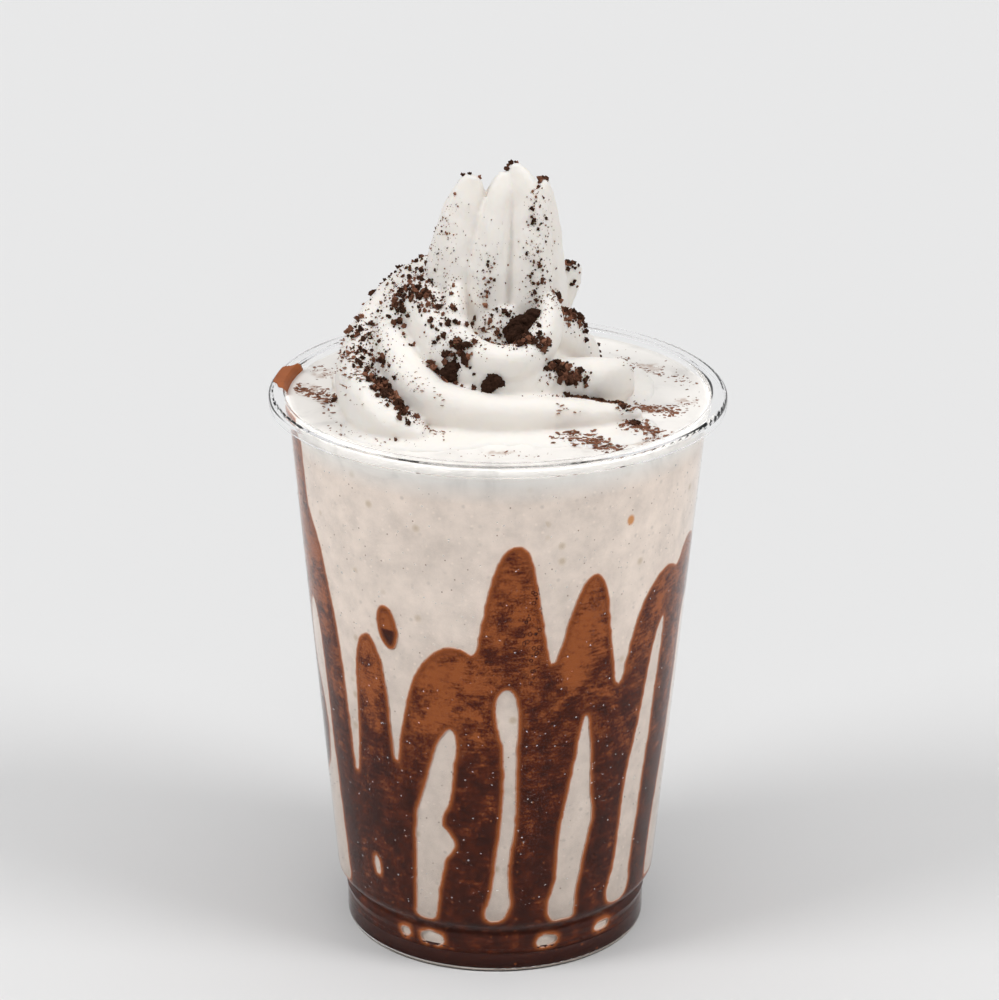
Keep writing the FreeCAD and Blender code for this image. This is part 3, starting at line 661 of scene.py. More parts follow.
def plastic_material(settings):
    """Clear plastic, misted below the rim."""
    material, tree, shader = clear_material("clear plastic", 1.25, settings.gloss, 0.5)
    vector, height = object_coordinates(tree)
    rim, misted_from = 0.119, 0.112
    roughness = ranged(tree, height, rim, misted_from, 0.04, settings.roughness)
    tree.links.new(roughness, shader.inputs["Roughness"])
    mist = cloud(tree, vector, 1500.0, 3.0, 0.6)
    beads = product(tree, mist, ranged(tree, height, rim, misted_from))
    tree.links.new(bumped(tree, beads, 0.12, 0.0002), shader.inputs["Normal"])
    let_lamps_through(tree, shader)
    return material


def dew_material():
    """Beads of water."""
    material, tree, shader = clear_material("dew", 1.33, 0.4, 0.12)
    let_lamps_through(tree, shader)
    return material


def drink_material(settings):
    """Blended drink: beige with fine specks at the side, white foam on top."""
    material, tree, shader = new_material(
        "blended drink", {"Roughness": 0.42, "Specular IOR Level": 0.35}
    )
    vector, height = object_coordinates(tree)
    side = Vector(settings.side_colour)
    drink = colour_ramp(
        tree,
        cloud(tree, vector, 190.0, 6.0, 0.6),
        (0.3, side * 0.86),
        (0.5, side),
        (0.72, side * 1.12),
    )
    # Specks: how many to a metre, the share of them that shows, and their colour. The pale ones are
    # painted highlights of the dew on the outside of the wall.
    for scale, amount, colour in (
        (560.0, 0.16, side * 0.86),
        (760.0, 0.2, side * 1.1),
        (300.0, 0.07, (0.66, 0.545, 0.43)),
        (1500.0, 0.022, (0.26, 0.15, 0.09)),
    ):
        drink = mixed(tree, specks(tree, vector, scale, amount), drink, colour)
    bright = patch(tree, vector, (0.0278, -0.0333, 0.106), (0.0013, 0.0013, 0.0016))
    drink = mixed(tree, bright, drink, (0.66, 0.3, 0.11))
    # Painted shade: the drink darkens towards the bottom of the cup.
    low = ranged(tree, height, 0.088, 0.012)
    drink = mixed(tree, low, drink, (0.74, 0.73, 0.72), "MULTIPLY")
    foam = Vector(settings.foam_colour)
    frothy = colour_ramp(
        tree,
        cloud(tree, vector, 75.0, 5.0, distortion=1.2),
        (0.36, foam * 0.86),
        (0.47, foam),
        (0.62, foam * 1.04),
    )
    level = DRINK_LEVEL * MM
    near_top = ranged(tree, height, level - 0.0085, level - 0.0035)
    drink = mixed(tree, near_top, drink, frothy)
    shreds = cloud(tree, vector, 520.0, 5.0)
    shredded = maths(tree, "MULTIPLY_ADD", shreds, 3.4, -1.35, clamp=True)
    smeared = 0.0
    for x, y, half_width, half_depth in SMEARS:
        size = (half_width * MM, half_depth * MM, 0.004)
        smear = patch(tree, vector, (x * MM, y * MM, level), size)
        smeared = maths(tree, "MAXIMUM", smear, smeared)
    drink = mixed(tree, product(tree, smeared, shredded, 0.85), drink, (0.36, 0.2, 0.12))
    tree.links.new(drink, shader.inputs["Base Color"])
    bubbles = cloud(tree, vector, 420.0, 4.0)
    tree.links.new(bumped(tree, bubbles, 0.25, 0.0004), shader.inputs["Normal"])
    return material


def sauce_material(settings):
    """Chocolate sauce on the wall: amber where it is thin, dark brown where it is deep."""
    material, tree, shader = new_material(
        "chocolate sauce", {"Roughness": 0.5, "Specular IOR Level": 0.1}
    )
    wall = attribute(tree, "wall", "Vector")
    depth = attribute(tree, "depth")
    long_way = add_node(tree, "ShaderNodeMapping", {"Scale": (0.3, 1.1, 1.0)})
    tree.links.new(wall, long_way.inputs["Vector"])
    waves = maths(tree, "MULTIPLY_ADD", cloud(tree, wall, 0.2, 6.0, 0.62), 1.7, -0.85)
    streaks = cloud(tree, long_way.outputs["Vector"], 1.0, 5.0, 0.6)
    lines = maths(tree, "MULTIPLY_ADD", streaks, 1.0, -0.5)
    grains = maths(tree, "MULTIPLY_ADD", cloud(tree, wall, 2.0, 4.0, 0.75), 1.3, -0.65)
    stirred = maths(tree, "ADD", maths(tree, "ADD", waves, lines), grains)
    thick = maths(tree, "ADD", attribute(tree, "body"), stirred)
    for centre, size in (
        ((-13.0, 67.0, 0.0), (15.0, 19.0, 9.0)),
        ((-31.0, 68.0, 0.0), (6.0, 15.0, 9.0)),
        ((17.5, 80.0, 0.0), (8.0, 14.0, 9.0)),
    ):
        thinner = product(tree, patch(tree, wall, centre, size), 0.26)
        thick = maths(tree, "SUBTRACT", thick, thinner)
    edge = Vector(settings.edge_colour)
    middle = Vector(settings.middle_colour)
    deep = Vector(settings.deep_colour)
    full = colour_ramp(
        tree,
        thick,
        (0.0, edge.lerp(middle, 0.1)),
        (0.16, edge.lerp(middle, 0.5)),
        (0.36, middle),
        (0.58, middle.lerp(deep, 0.65)),
        (0.82, deep),
    )
    thin = colour_ramp(
        tree,
        depth,
        (0.0, edge.lerp(Vector((0.72, 0.58, 0.48)), 0.65)),
        (0.14, edge),
        (0.5, edge.lerp(middle, 0.5)),
        (1.0, middle),
    )
    sauce = mixed(tree, product(tree, depth, depth), thin, full)
    # Painted highlights: lighter amber specks where the dew drops catch the light.
    sauce = mixed(tree, specks(tree, wall, 0.9, 0.05), sauce, edge.lerp(middle, 0.45))
    sauce = mixed(tree, specks(tree, wall, 1.8, 0.22), sauce, edge.lerp(middle, 0.62))
    rings = add_node(tree, "ShaderNodeTexVoronoi", {"Scale": 0.62, "Randomness": 0.9})
    tree.links.new(wall, rings.inputs["Vector"])
    outer = maths(tree, "COMPARE", rings.outputs["Distance"], 0.27, 0.055)
    inner = maths(tree, "LESS_THAN", rings.outputs["Distance"], 0.2)
    bubbling = patch(tree, wall, (7.6, 84.0, 0.0), (3.2, 17.0, 9.0))
    sauce = mixed(tree, product(tree, outer, bubbling), sauce, deep)
    sauce = mixed(tree, product(tree, inner, bubbling, 0.4), sauce, edge.lerp(middle, 0.5))
    # Painted sheen: in two zones the dew on the wall catches the light. It is painted on the sauce
    # as a speckled grey-mauve haze, and misted is the mask of these zones.
    misted = maths(
        tree,
        "MAXIMUM",
        patch(tree, wall, (9.3, 49.0, 0.0), (4.0, 28.0, 9.0)),
        patch(tree, wall, (22.4, 87.0, 0.0), (3.4, 10.0, 9.0)),
    )
    painted_sheen = product(tree, misted, specks(tree, wall, 1.5, 0.6), 0.55, depth)
    sauce = mixed(tree, painted_sheen, sauce, (0.24, 0.135, 0.115))
    tree.links.new(sauce, shader.inputs["Base Color"])
    return material


def cream_material(settings):
    """Whipped cream: near white, soft, with a little light inside it."""
    material, tree, shader = new_material("whipped cream", {
        "Roughness": 0.46,
        "Specular IOR Level": 0.4,
        "Subsurface Weight": 0.35,
        "Subsurface Radius": (1.0, 0.8, 0.6),
        "Subsurface Scale": 0.003,
    })
    vector, _ = object_coordinates(tree)
    base = Vector(settings.colour)
    colour = colour_ramp(tree, cloud(tree, vector, 70.0, 4.0), (0.3, base * 0.97), (0.7, base))
    tree.links.new(colour, shader.inputs["Base Color"])
    fine = cloud(tree, vector, 650.0, 5.0)
    tree.links.new(bumped(tree, fine, 0.22, 0.00035), shader.inputs["Normal"])
    return material


def cookie_material(settings):
    """Chocolate cookie: dark, dry and rough."""
    material, tree, shader = new_material(
        "chocolate cookie", {"Roughness": 0.85, "Specular IOR Level": 0.08}
    )
    vector, _ = object_coordinates(tree)
    grain = cloud(tree, vector, 900.0, 4.0, 0.7)
    shade = maths(tree, "SUBTRACT", attribute(tree, "shade"), 0.45)
    base = Vector(settings.colour)
    colour = colour_ramp(
        tree,
        maths(tree, "MULTIPLY_ADD", grain, 0.9, shade),
        (0.0, base * 0.6),
        (0.3, base),
        (0.6, (0.12, 0.05, 0.03)),
        (1.0, (0.27, 0.12, 0.072)),
    )
    tree.links.new(colour, shader.inputs["Base Color"])
    tree.links.new(bumped(tree, grain, 0.6, 0.0005), shader.inputs["Normal"])
    return material


def material_for(slot):
    """The material of a slot, made once."""
    scene = bpy.context.scene
    makers = {
        "tumbler": lambda: plastic_material(scene.frappe_tumbler),
        "dew": dew_material,
        "milkshake": lambda: drink_material(scene.frappe_drink),
        "sauce": lambda: sauce_material(scene.frappe_sauce),
        "cream": lambda: cream_material(scene.frappe_cream),
        "cookie": lambda: cookie_material(scene.frappe_crumbs),
    }
    key = "frappe_" + slot
    if key not in bpy.data.materials:
        made = makers[slot]()
        made.name = key
    return bpy.data.materials[key]


# ---------------------------------------------------------------- sauce


def turned_by(bearing, middle):
    """How many degrees a bearing lies to the right of another."""
    return (bearing - middle + 180.0) % 360.0 - 180.0


def table_of(rows, column):
    """A smooth curve through a column of rows, read every quarter of a unit of the first one."""
    smooth = [eased(rows, step / (8.0 * len(rows))) for step in range(8 * len(rows) + 1)]
    first = rows[0][0]
    count = int((rows[-1][0] - first) * 4.0) + 1
    table = []
    place = 0
    for step in range(count):
        value = first + step / 4.0
        while place < len(smooth) - 2 and smooth[place + 1][0] < value:
            place += 1
        before, after = smooth[place], smooth[place + 1]
        share = (value - before[0]) / max(after[0] - before[0], 0.0001)
        share = max(0.0, min(1.0, share))
        table.append(before[column] + share * (after[column] - before[column]))
    return first, table


def read_table(table, value):
    """The value of a quarter-step table, straight between its entries."""
    first, entries = table
    position = max(0.0, min((value - first) * 4.0, len(entries) - 1.001))
    index = int(position)
    share = position - index
    return entries[index] * (1.0 - share) + entries[index + 1] * share


class SauceOutline:
    """The outline of the sauce on the wall."""

    def __init__(self):
        self.skyline = table_of(SKYLINE, 1)
        self.partings = [
            (rows[0][0], rows[-1][0], table_of(rows, 1), table_of(rows, 2)) for rows in PARTINGS
        ]

    def upper(self, bearing):
        """Height of the upper outline at a bearing."""
        if abs(bearing) <= 98.0:
            return read_table(self.skyline, bearing)
        top = CURTAIN_HEIGHT
        for middle, crest, left, right, power in TONGUES:
            offset = turned_by(bearing, middle)
            spread = left if offset < 0.0 else right
            top = max(top, crest - 30.0 * (abs(offset) / spread) ** (1.0 / power))
        return top

    def inside(self, bearing, height):
        """More than 0 where there is sauce, less where there is none, and 0 on the outline."""
        spot = on_bearing(36.0, bearing, height)
        bearing += 0.35 * noise.noise(spot * 0.45) + 0.16 * noise.noise(spot * 1.3)
        height += 0.35 * noise.noise(spot * 0.45 + Vector((7.0, 3.0, 1.0)))
        bearing = turned_by(bearing, 0.0)
        cover = (self.upper(bearing) - height) * 0.4
        for low, high, left, right in self.partings:
            if low < height < high:
                within = min(
                    bearing - read_table(left, height), read_table(right, height) - bearing
                )
                cover = min(cover, -0.65 * within)
        for foot, tip, bow, low, high, half_width, taper in BACK_PARTINGS:
            if low < height < high:
                share = (height - low) / (high - low)
                centre = foot + share * (tip - foot) + bow * math.sin(math.pi * share)
                width = half_width * (1.0 - taper * share * share)
                width *= math.sqrt(1.0 - max(0.0, 1.0 - (height - low) / 4.0) ** 2)
                width *= math.sqrt(1.0 - max(0.0, 1.0 - (high - height) / 9.0) ** 2)
                cover = min(cover, 0.65 * (abs(turned_by(bearing, centre)) - width))
        if height < 10.0:
            for middle, level, half_width, half_height in FOOT_GAPS:
                away = turned_by(bearing, middle) / half_width
                gap = math.hypot(away, (height - level) / half_height)
                cover = min(cover, gap - 1.0)
        middle, level, half_width, half_height = DROPLET
        away = turned_by(bearing, middle - 0.12 * (height - level)) / half_width
        drop = math.hypot(away, (height - level) / half_height)
        return max(cover, 2.0 * (1.0 - drop))

    def on_outline(self, outside, within):
        """The place on the outline between a place outside the sauce and one inside it."""
        near, far = 0.0, 1.0
        for _ in range(6):
            share = 0.5 * (near + far)
            bearing = outside[0] + share * (within[0] - outside[0])
            height = outside[1] + share * (within[1] - outside[1])
            if self.inside(bearing, height) > 0.0:
                far = share
            else:
                near = share
        return bearing, height


def sauce_body(bearing, height):
    """How thick the sauce has run at a place, from 0 to 1."""
    middle, level, half_width, half_height = DROPLET
    away = turned_by(bearing, middle) / half_width
    if math.hypot(away, (height - level) / half_height) < 1.3:
        return 0.05 if height > level - 0.8 else 0.75
    return 0.14 + 0.46 * max(0.0, min(1.0, (94.0 - height) / 60.0))


def sauce_layers(bm):
    """The layers that the sauce's material reads: depth, body, and the place on the sauce's map."""
    made = bm.verts.layers
    return made.float.new("depth"), made.float.new("body"), made.float_vector.new("wall")


def mark(vert, layers, *values):
    """Writes a vertex's values in the three layers of the sauce."""
    for layer, value in zip(layers, values):
        vert[layer] = value


def on_map(bearing, height):
    """A place on the sauce's map, which is the wall rolled out flat, in millimetres."""
    return (math.radians(bearing) * MAP_RADIUS, height, 0.0)


def sauce_film(width_steps, height_steps, top):
    """The film on the wall, cut to the outline of the sauce, and where each vertex lies."""
    outline = SauceOutline()
    bm = bmesh.new()
    layers = sauce_layers(bm)
    bmesh.ops.create_grid(bm, x_segments=width_steps, y_segments=height_steps, size=0.5)
    rise = (top - FILM_FOOT) / height_steps
    place = {}
    covered = {}
    for vert in bm.verts:
        bearing = -180.0 + 360.0 * (vert.co.x + 0.5)
        height = FILM_FOOT + (top - FILM_FOOT) * (vert.co.y + 0.5)
        for bend, _ in INNER_WALL:
            if abs(height - bend) < 0.5 * rise:
                height = bend
        place[vert] = (bearing, height)
        covered[vert] = outline.inside(bearing, height) > 0.0
    bare = [f for f in bm.faces if not any(covered[v] for v in f.verts)]
    bmesh.ops.delete(bm, geom=bare, context="FACES")
    # Vertices just outside the outline are drawn back onto it.
    drawn = {}
    for vert in bm.verts:
        if covered[vert]:
            continue
        around = {other for face in vert.link_faces for other in face.verts if covered[other]}
        found = [outline.on_outline(place[vert], place[other]) for other in around]
        drawn[vert] = (
            sum(bearing for bearing, _ in found) / len(found),
            sum(height for _, height in found) / len(found),
        )
    place.update(drawn)
    return bm, layers, place


# ---------------------------------------------------------------- cream


def rounded_ends(share, near):
    """1 along a rope, falling to 0 in a round end at both ends."""
    end = min(share, 1.0 - share) / near
    return math.sqrt(max(0.0, 1.0 - (1.0 - min(end, 1.0)) ** 2))


def rope(bm, stations, around, along, turn=None, crest=0.16, crest_at=62.0, ridges=0.0):
    """A rope of cream along its stations, with a raised crest like a star nozzle leaves."""
    grid = bmesh.ops.create_grid(bm, x_segments=around, y_segments=along, size=0.5)
    for vert in grid["verts"]:
        share = vert.co.y + 0.5
        angle = 2.0 * math.pi * (vert.co.x + 0.5)
        x, y, z, half_width, half_height = eased(stations, share)
        ahead = Vector(eased(stations, min(share + 0.01, 1.0))[:3])
        behind = Vector(eased(stations, max(share - 0.01, 0.0))[:3])
        along_rope = (ahead - behind).normalized()
        if turn is None:
            across = Vector((x, y, 0.0)).normalized()
        else:
            across = Vector((math.cos(math.radians(turn)), math.sin(math.radians(turn)), 0.0))
        across = (across - along_rope * across.dot(along_rope)).normalized()
        up = across.cross(along_rope).normalized()
        if turn is None and up.z < 0.0:
            up = -up
        lift = max(0.0, math.cos(angle - math.radians(crest_at))) ** 5
        reach = (1.0 + crest * lift + ridges * math.cos(7.0 * angle)) * rounded_ends(share, 0.04)
        vert.co = (
            Vector((x, y, z))
            + across * (half_width * reach * math.cos(angle))
            + up * (half_height * reach * math.sin(angle))
        )
    bmesh.ops.remove_doubles(bm, verts=grid["verts"], dist=WELD)


def spread_cream(bm):
    """The low mounds of cream on the drink."""
    for x, y, half_width, half_depth, rise in SPREAD:
        dome = bmesh.ops.create_uvsphere(bm, u_segments=48, v_segments=24, radius=1.0)
        shape = Matrix.LocRotScale(
            Vector((x, y, DRINK_LEVEL - 0.5)), None, Vector((half_width, half_depth, rise))
        )
        bmesh.ops.transform(bm, matrix=shape, verts=dome["verts"])


# ---------------------------------------------------------------- crumbs and dew


def crumb_template(seed, detail, roughness):
    """One broken crumb about 1 across, centred on the origin."""
    pick = random.Random(seed)
    bm = bmesh.new()
    bmesh.ops.create_icosphere(bm, subdivisions=detail, radius=0.5)
    shift = Vector((pick.uniform(-9, 9), pick.uniform(-9, 9), pick.uniform(-9, 9)))
    for vert in bm.verts:
        direction = vert.co.normalized()
        vert.co *= 1.0 + roughness * noise.noise(direction * 1.9 + shift)
    stretch = (pick.uniform(0.75, 1.2), pick.uniform(0.6, 1.0), pick.uniform(0.5, 0.9))
    bmesh.ops.scale(bm, vec=stretch, verts=bm.verts)
    mesh = bpy.data.meshes.new("crumb")
    bm.to_mesh(mesh)
    bm.free()
    return mesh


def add_copies(bm, templates, placements):
    """Adds a copy of a template mesh for each (template number, matrix)."""
    for number, matrix in placements:
        copy = templates[number].copy()
        copy.transform(matrix)
        bm.from_mesh(copy)
        bpy.data.meshes.remove(copy)


def strew(name, templates, placements):
    """A piece made of crumbs, each with a shade of its own."""
    bm = bmesh.new()
    add_copies(bm, templates, [placement[:2] for placement in placements])
    layer = bm.verts.layers.float.new("shade")
    count = len(templates[0].vertices)
    for number, vert in enumerate(bm.verts):
        vert[layer] = placements[number // count][2]
    finish_piece(bm, name, material_for("cookie"), smooth=False)


# Crumbs: how they fell, the two ends of the strip that they fell on, its half width, how many,
# and the least and greatest size. "down" and "wet" strips are (x, y), "back" strips are (x, z);
# wet ones lie flat on the drink.
CRUMB_STRIPS = (
    ("down", (-29, -6), (-27, -20), 3.6, 90, 0.5, 1.5),
    ("down", (-27, -20), (-18, -30), 2.6, 90, 0.5, 1.8),
    ("down", (-25, -17), (-19.5, -27.5), 1.3, 40, 1, 2.3),
    ("down", (-22, 0), (-15, -12), 5, 150, 0.5, 1.3),
    ("down", (-22, -4), (-8, -18), 4, 100, 0.5, 1.6),
    ("down", (-14, -18.5), (-5, -21.5), 1.5, 56, 0.8, 2.4),
    ("down", (4, -18.6), (24, -16.8), 1.5, 190, 0.5, 2),
    ("down", (10, -18.4), (21, -17.2), 0.9, 44, 1, 2.5),
    ("down", (23, -17.4), (30, -21.5), 1.8, 70, 0.4, 1.5),
    ("down", (-4, -11), (6, -12), 3.4, 90, 0.5, 1.7),
    ("down", (12, -7), (20, 1), 1.6, 66, 0.5, 1.9), ("down", (20, 1), (28, -3), 0.8, 20, 0.4, 1.2),
    ("down", (1.2, -1), (3, -0.4), 0.7, 12, 0.7, 1.7),
    ("down", (8.4, -0.6), (10.6, 0.4), 0.6, 10, 0.6, 1.6),
    ("down", (-8, -0.4), (-4.4, -0.2), 0.6, 8, 0.5, 1.1),
    ("down", (13, 5), (17, 5.8), 0.9, 30, 0.5, 1.3),
    ("down", (-24, 6), (-10, 18), 5, 110, 0.4, 1.4), ("down", (2, 18), (20, 10), 5, 90, 0.4, 1.4),
    ("back", (-3, 146), (-2, 154), 1.6, 16, 0.4, 0.9),
    ("back", (8, 146), (8, 157), 2.2, 30, 0.4, 1), ("back", (7, 160), (8, 169), 2, 26, 0.4, 1),
    ("back", (-15, 142), (-9, 168), 1.8, 20, 0.4, 0.8),
)
DUST_STRIPS = (
    ("down", (-28, -4), (-26, -20), 4.6, 420, 0.12, 0.5),
    ("down", (-26, -18), (-16, -30), 3.6, 300, 0.12, 0.5),
    ("down", (-22, 2), (-12, -12), 5.6, 620, 0.12, 0.5),
    ("down", (-15, -17), (-3, -21), 2.4, 220, 0.12, 0.5),
    ("down", (2, -19.5), (27, -18), 2.4, 460, 0.12, 0.5),
    ("down", (-5, -10), (9, -12), 4.4, 460, 0.12, 0.5),
    ("down", (11, -8), (22, 2), 2.6, 300, 0.12, 0.5),
    ("down", (-24, 8), (16, 18), 7, 300, 0.12, 0.5),
    ("back", (-3, 142), (-2, 158), 2.6, 90, 0.12, 0.45),
    ("back", (8, 142), (8, 168), 3.6, 260, 0.12, 0.5),
    ("back", (-12, 142), (-9, 168), 3.6, 130, 0.12, 0.45),
    ("wet", (-44, 6), (-33, -7), 3, 220, 0.3, 1.3),
    ("wet", (-34, -7), (-29, -20), 4, 150, 0.3, 1.1),
    ("wet", (-42, 24), (-37, 12), 3.6, 50, 0.2, 0.8),
    ("wet", (-36, -20), (-20, -35), 3.4, 60, 0.15, 0.7),
    ("wet", (28, -7), (38, -10), 3, 200, 0.3, 1.2), ("wet", (38, -8), (42, -2), 3, 40, 0.2, 0.8),
    ("wet", (26, -19), (33, -24), 3.6, 190, 0.3, 1.3),
    ("wet", (13, -27), (25, -33), 3, 260, 0.3, 1.3),
    ("wet", (30, -30), (33, -26), 1.6, 30, 0.2, 0.8),
    ("wet", (-18, -25), (-11, -29), 2.4, 80, 0.2, 0.8),
    ("wet", (-10, -36), (12, -37), 2.4, 40, 0.15, 0.6),
    ("wet", (26, 26), (44, 8), 4.6, 120, 0.2, 0.9), ("wet", (-34, 26), (22, 36), 5, 140, 0.15, 0.8),
)

# No crumb falls further out than this, in metres.
CRUMB_LIMIT = 0.0438


def surface_tree(pieces):
    """One search tree over the meshes of several pieces."""
    bm = bmesh.new()
    for piece in pieces:
        bm.from_mesh(piece.data)
    tree = BVHTree.FromBMesh(bm)
    bm.free()
    return tree


def crumb_placements(tree, pick, strips, count_of_templates, light):
    """Where each crumb lies, a little into the cream or the drink, and its shade."""
    found = []
    for fall, first, last, half_width, count, least, most in strips:
        for _ in range(count):
            share = pick.random()
            a = first[0] + share * (last[0] - first[0]) + pick.gauss(0.0, half_width * 0.5)
            b = first[1] + share * (last[1] - first[1]) + pick.gauss(0.0, half_width * 0.5)
            if fall == "back":
                start, way = Vector((a, -60.0, b)) * MM, Vector((0, 1, 0))
            else:
                start, way = Vector((a, b, 200.0)) * MM, Vector((0, 0, -1))
            spot, normal, _, _ = tree.ray_cast(start, way)
            if spot is None or math.hypot(spot.x, spot.y) > CRUMB_LIMIT:
                continue
            size = least + (most - least) * pick.random() ** 2.0
            shade = min(1.0, pick.random() ** 1.6 + light)
            if fall == "wet":
                stretch = (pick.uniform(1.0, 2.2), 1.0, 0.3)
                turn = Matrix.Rotation(pick.uniform(0.0, 6.28), 4, "Z")
                turn = turn @ Matrix.Diagonal((*stretch, 1.0))
                shade = min(1.0, shade + 0.25)
                spot = spot / MM
            else:
                turn = Euler([pick.uniform(0.0, 6.28) for _ in range(3)]).to_matrix().to_4x4()
                spot = spot / MM + normal * (size * 0.18)
            where = Matrix.Translation(spot) @ turn @ Matrix.Scale(size, 4)
            found.append((pick.randrange(count_of_templates), where, shade))
    return found


# ---------------------------------------------------------------- operators


class FRAPPE_OT_tumbler(bpy.types.Operator):
    """Gives the tumbler its clear, misted plastic"""

    bl_idname = "frappe.tumbler"
    bl_label = "Tumbler"

    def execute(self, context):
        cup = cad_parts["tumbler"]
        plastic = material_for("tumbler")
        for place in cup.material_slots:
            place.material = plastic
        return {"FINISHED"}


class FRAPPE_OT_drink(bpy.types.Operator):
    """Fills the tumbler with the blended drink"""

    bl_idname = "frappe.drink"
    bl_label = "Drink"

    def execute(self, context):
        reach = context.scene.frappe_drink.reach / MM
        heights = [0.6, 3.0, 6.9, 8.1, 9.3, 12.4, 13.5]
        heights += [STRAIGHT_LOW[0] + STRAIGHT_RISE * step / 24.0 for step in range(1, 25)]
        heights += [118.5, 120.2, DRINK_LEVEL - 0.35]
        outline = [(0.0, 3.0), (25.0, 3.0), (27.8, 0.5)]
        for z in heights:
            set_back = FOOT_SET_BACK if z < FOOT_TOP else 0.0
            outline.append((inner_radius(z) + reach - set_back, z))
        outline.append((MENISCUS_RADIUS, DRINK_LEVEL + 0.1))
        rings = 40
        for step in range(1, rings + 1):
            outline.append((LEVEL_RADIUS * (1.0 - step / rings), DRINK_LEVEL - 0.1))
        bm = spun(outline, 160)
        for vert in bm.verts:
            radius = math.hypot(vert.co.x, vert.co.y)
            if vert.co.z > DRINK_LEVEL - 0.2 and radius < RIPPLED_RADIUS:
                wave = noise.noise(vert.co * 0.09) + 0.6 * noise.noise(vert.co * 0.22)
                wave += 0.3 * noise.noise(vert.co * 0.6)
                vert.co.z += 0.6 * wave * min(1.0, (RIPPLED_RADIUS - radius) / 3.0)
        bmesh.ops.recalc_face_normals(bm, faces=bm.faces)
        finish_piece(bm, "blended_drink", material_for("milkshake"), ["milkshake"])
        return {"FINISHED"}


class FRAPPE_OT_sauce(bpy.types.Operator):
    """Runs the chocolate sauce down the inside of the wall"""

    bl_idname = "frappe.sauce"
    bl_label = "Sauce"

    def execute(self, context):
        settings = context.scene.frappe_sauce
        steps = ((480, 170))
        bm, layers, place = sauce_film(*steps, DRINK_LEVEL)
        reach = context.scene.frappe_drink.reach / MM + FILM_REACH
        full = settings.edge_width / MM
        for vert in bm.verts:
            bearing, height = place[vert]
            vert.co = on_bearing(inner_radius(height) + reach, bearing, height)
            mark(vert, layers, 0.0, sauce_body(bearing, height), on_map(bearing, height))
        bmesh.ops.remove_doubles(bm, verts=bm.verts, dist=WELD)
        outline = [v for v in bm.verts if v.is_boundary and v.co.z > FILM_FOOT + 0.9]
        edge = KDTree(len(outline))
        for number, vert in enumerate(outline):
            edge.insert(vert.co, number)
        edge.balance()
        for vert in bm.verts:
            share = min(1.0, edge.find(vert.co)[2] / full)
            vert[layers[0]] = share * share * (3.0 - 2.0 * share)
        for vert in other_side(bm):
            vert.co.xy *= 1.0 - FILM / vert.co.xy.length
        bmesh.ops.recalc_face_normals(bm, faces=bm.faces)
        pool = spun(POOL, 128)
        bmesh.ops.recalc_face_normals(pool, faces=pool.faces)
        pool_mesh = bpy.data.meshes.new("pool")
        pool.to_mesh(pool_mesh)
        pool.free()
        before = len(bm.verts)
        bm.from_mesh(pool_mesh)
        bpy.data.meshes.remove(pool_mesh)
        bm.verts.ensure_lookup_table()
        for vert in bm.verts[before:]:
            mark(vert, layers, 1.0, 1.0, vert.co)
        replaced = ["chocolate_sauce", "sauce_droplet"]
        finish_piece(bm, "chocolate_run", material_for("sauce"), replaced)
        return {"FINISHED"}


class FRAPPE_OT_smear(bpy.types.Operator):
    """Smears a little sauce over the rim"""

    bl_idname = "frappe.smear"
    bl_label = "Smear on the rim"

    def execute(self, context):
        cup = surface_tree([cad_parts["tumbler"]])
        bm = bmesh.new()
        layers = sauce_layers(bm)
        bmesh.ops.create_grid(bm, x_segments=60, y_segments=40, size=0.5)
        lost = []
        lowest = DRINK_LEVEL - 0.4
        for vert in bm.verts:
            along, out = vert.co.x + 0.5, vert.co.y + 0.5
            bearing = -113.0 + 28.0 * along
            radius = 44.3 + 4.0 * out
            above = on_bearing(radius, bearing, 200.0) * MM
            spot, _, _, _ = cup.ray_cast(above, Vector((0, 0, -1)))
            spread = 1.0 - abs(2.0 * along - 1.0) ** 2.0
            ragged = 0.5 + 0.5 * noise.noise(on_bearing(radius, bearing, 0.0) * 0.3)
            depth = 0.04 + 0.4 * spread * ragged
            mark(vert, layers, depth, 0.3, on_map(bearing, 100.0 + radius))
            if spot is None or spread * (0.25 + ragged) < 0.25 + 0.4 * out * out:
                lost.append(vert)
            height = lowest if spot is None else max(spot.z / MM, lowest)
            vert.co = on_bearing(radius, bearing, height + 0.1)
        bmesh.ops.delete(bm, geom=lost, context="VERTS")
        for vert in other_side(bm):
            vert.co.z -= SMEAR_THICKNESS
        bmesh.ops.recalc_face_normals(bm, faces=bm.faces)
        finish_piece(bm, "rim_smear", material_for("sauce"))
        return {"FINISHED"}


class FRAPPE_OT_cream(bpy.types.Operator):
    """Pipes the whipped cream"""

    bl_idname = "frappe.cream"
    bl_label = "Cream"

    def execute(self, context):
        settings = context.scene.frappe_cream
        bm = bmesh.new()
        spread_cream(bm)
        for stations in (OUTER_BAND, FRONT_BAND, INNER_BAND, SHOULDER, REAR_BAND, BOWL_LIP):
            rope(bm, stations, 40, 12 * len(stations), crest=0.22, crest_at=52.0)
        for turn, stations in LEAVES:
            rope(bm, stations, 48, 60, turn=turn, crest=0.0, ridges=0.025)
        core = bmesh.ops.create_cone(
            bm, cap_ends=True, segments=48, radius1=22.0, radius2=9.0, depth=24.0
        )
        bmesh.ops.translate(bm, vec=(0.0, 0.0, 132.0), verts=core["verts"])
        voxel = settings.voxel / MM * 1.0
        bm = merged_by_voxels(bm, voxel, settings.smoothing, (0.22, 0.3), (0.07, 1.1))
        finish_piece(bm, "piped_cream", material_for("cream"), ["whipped_cream"])
        return {"FINISHED"}


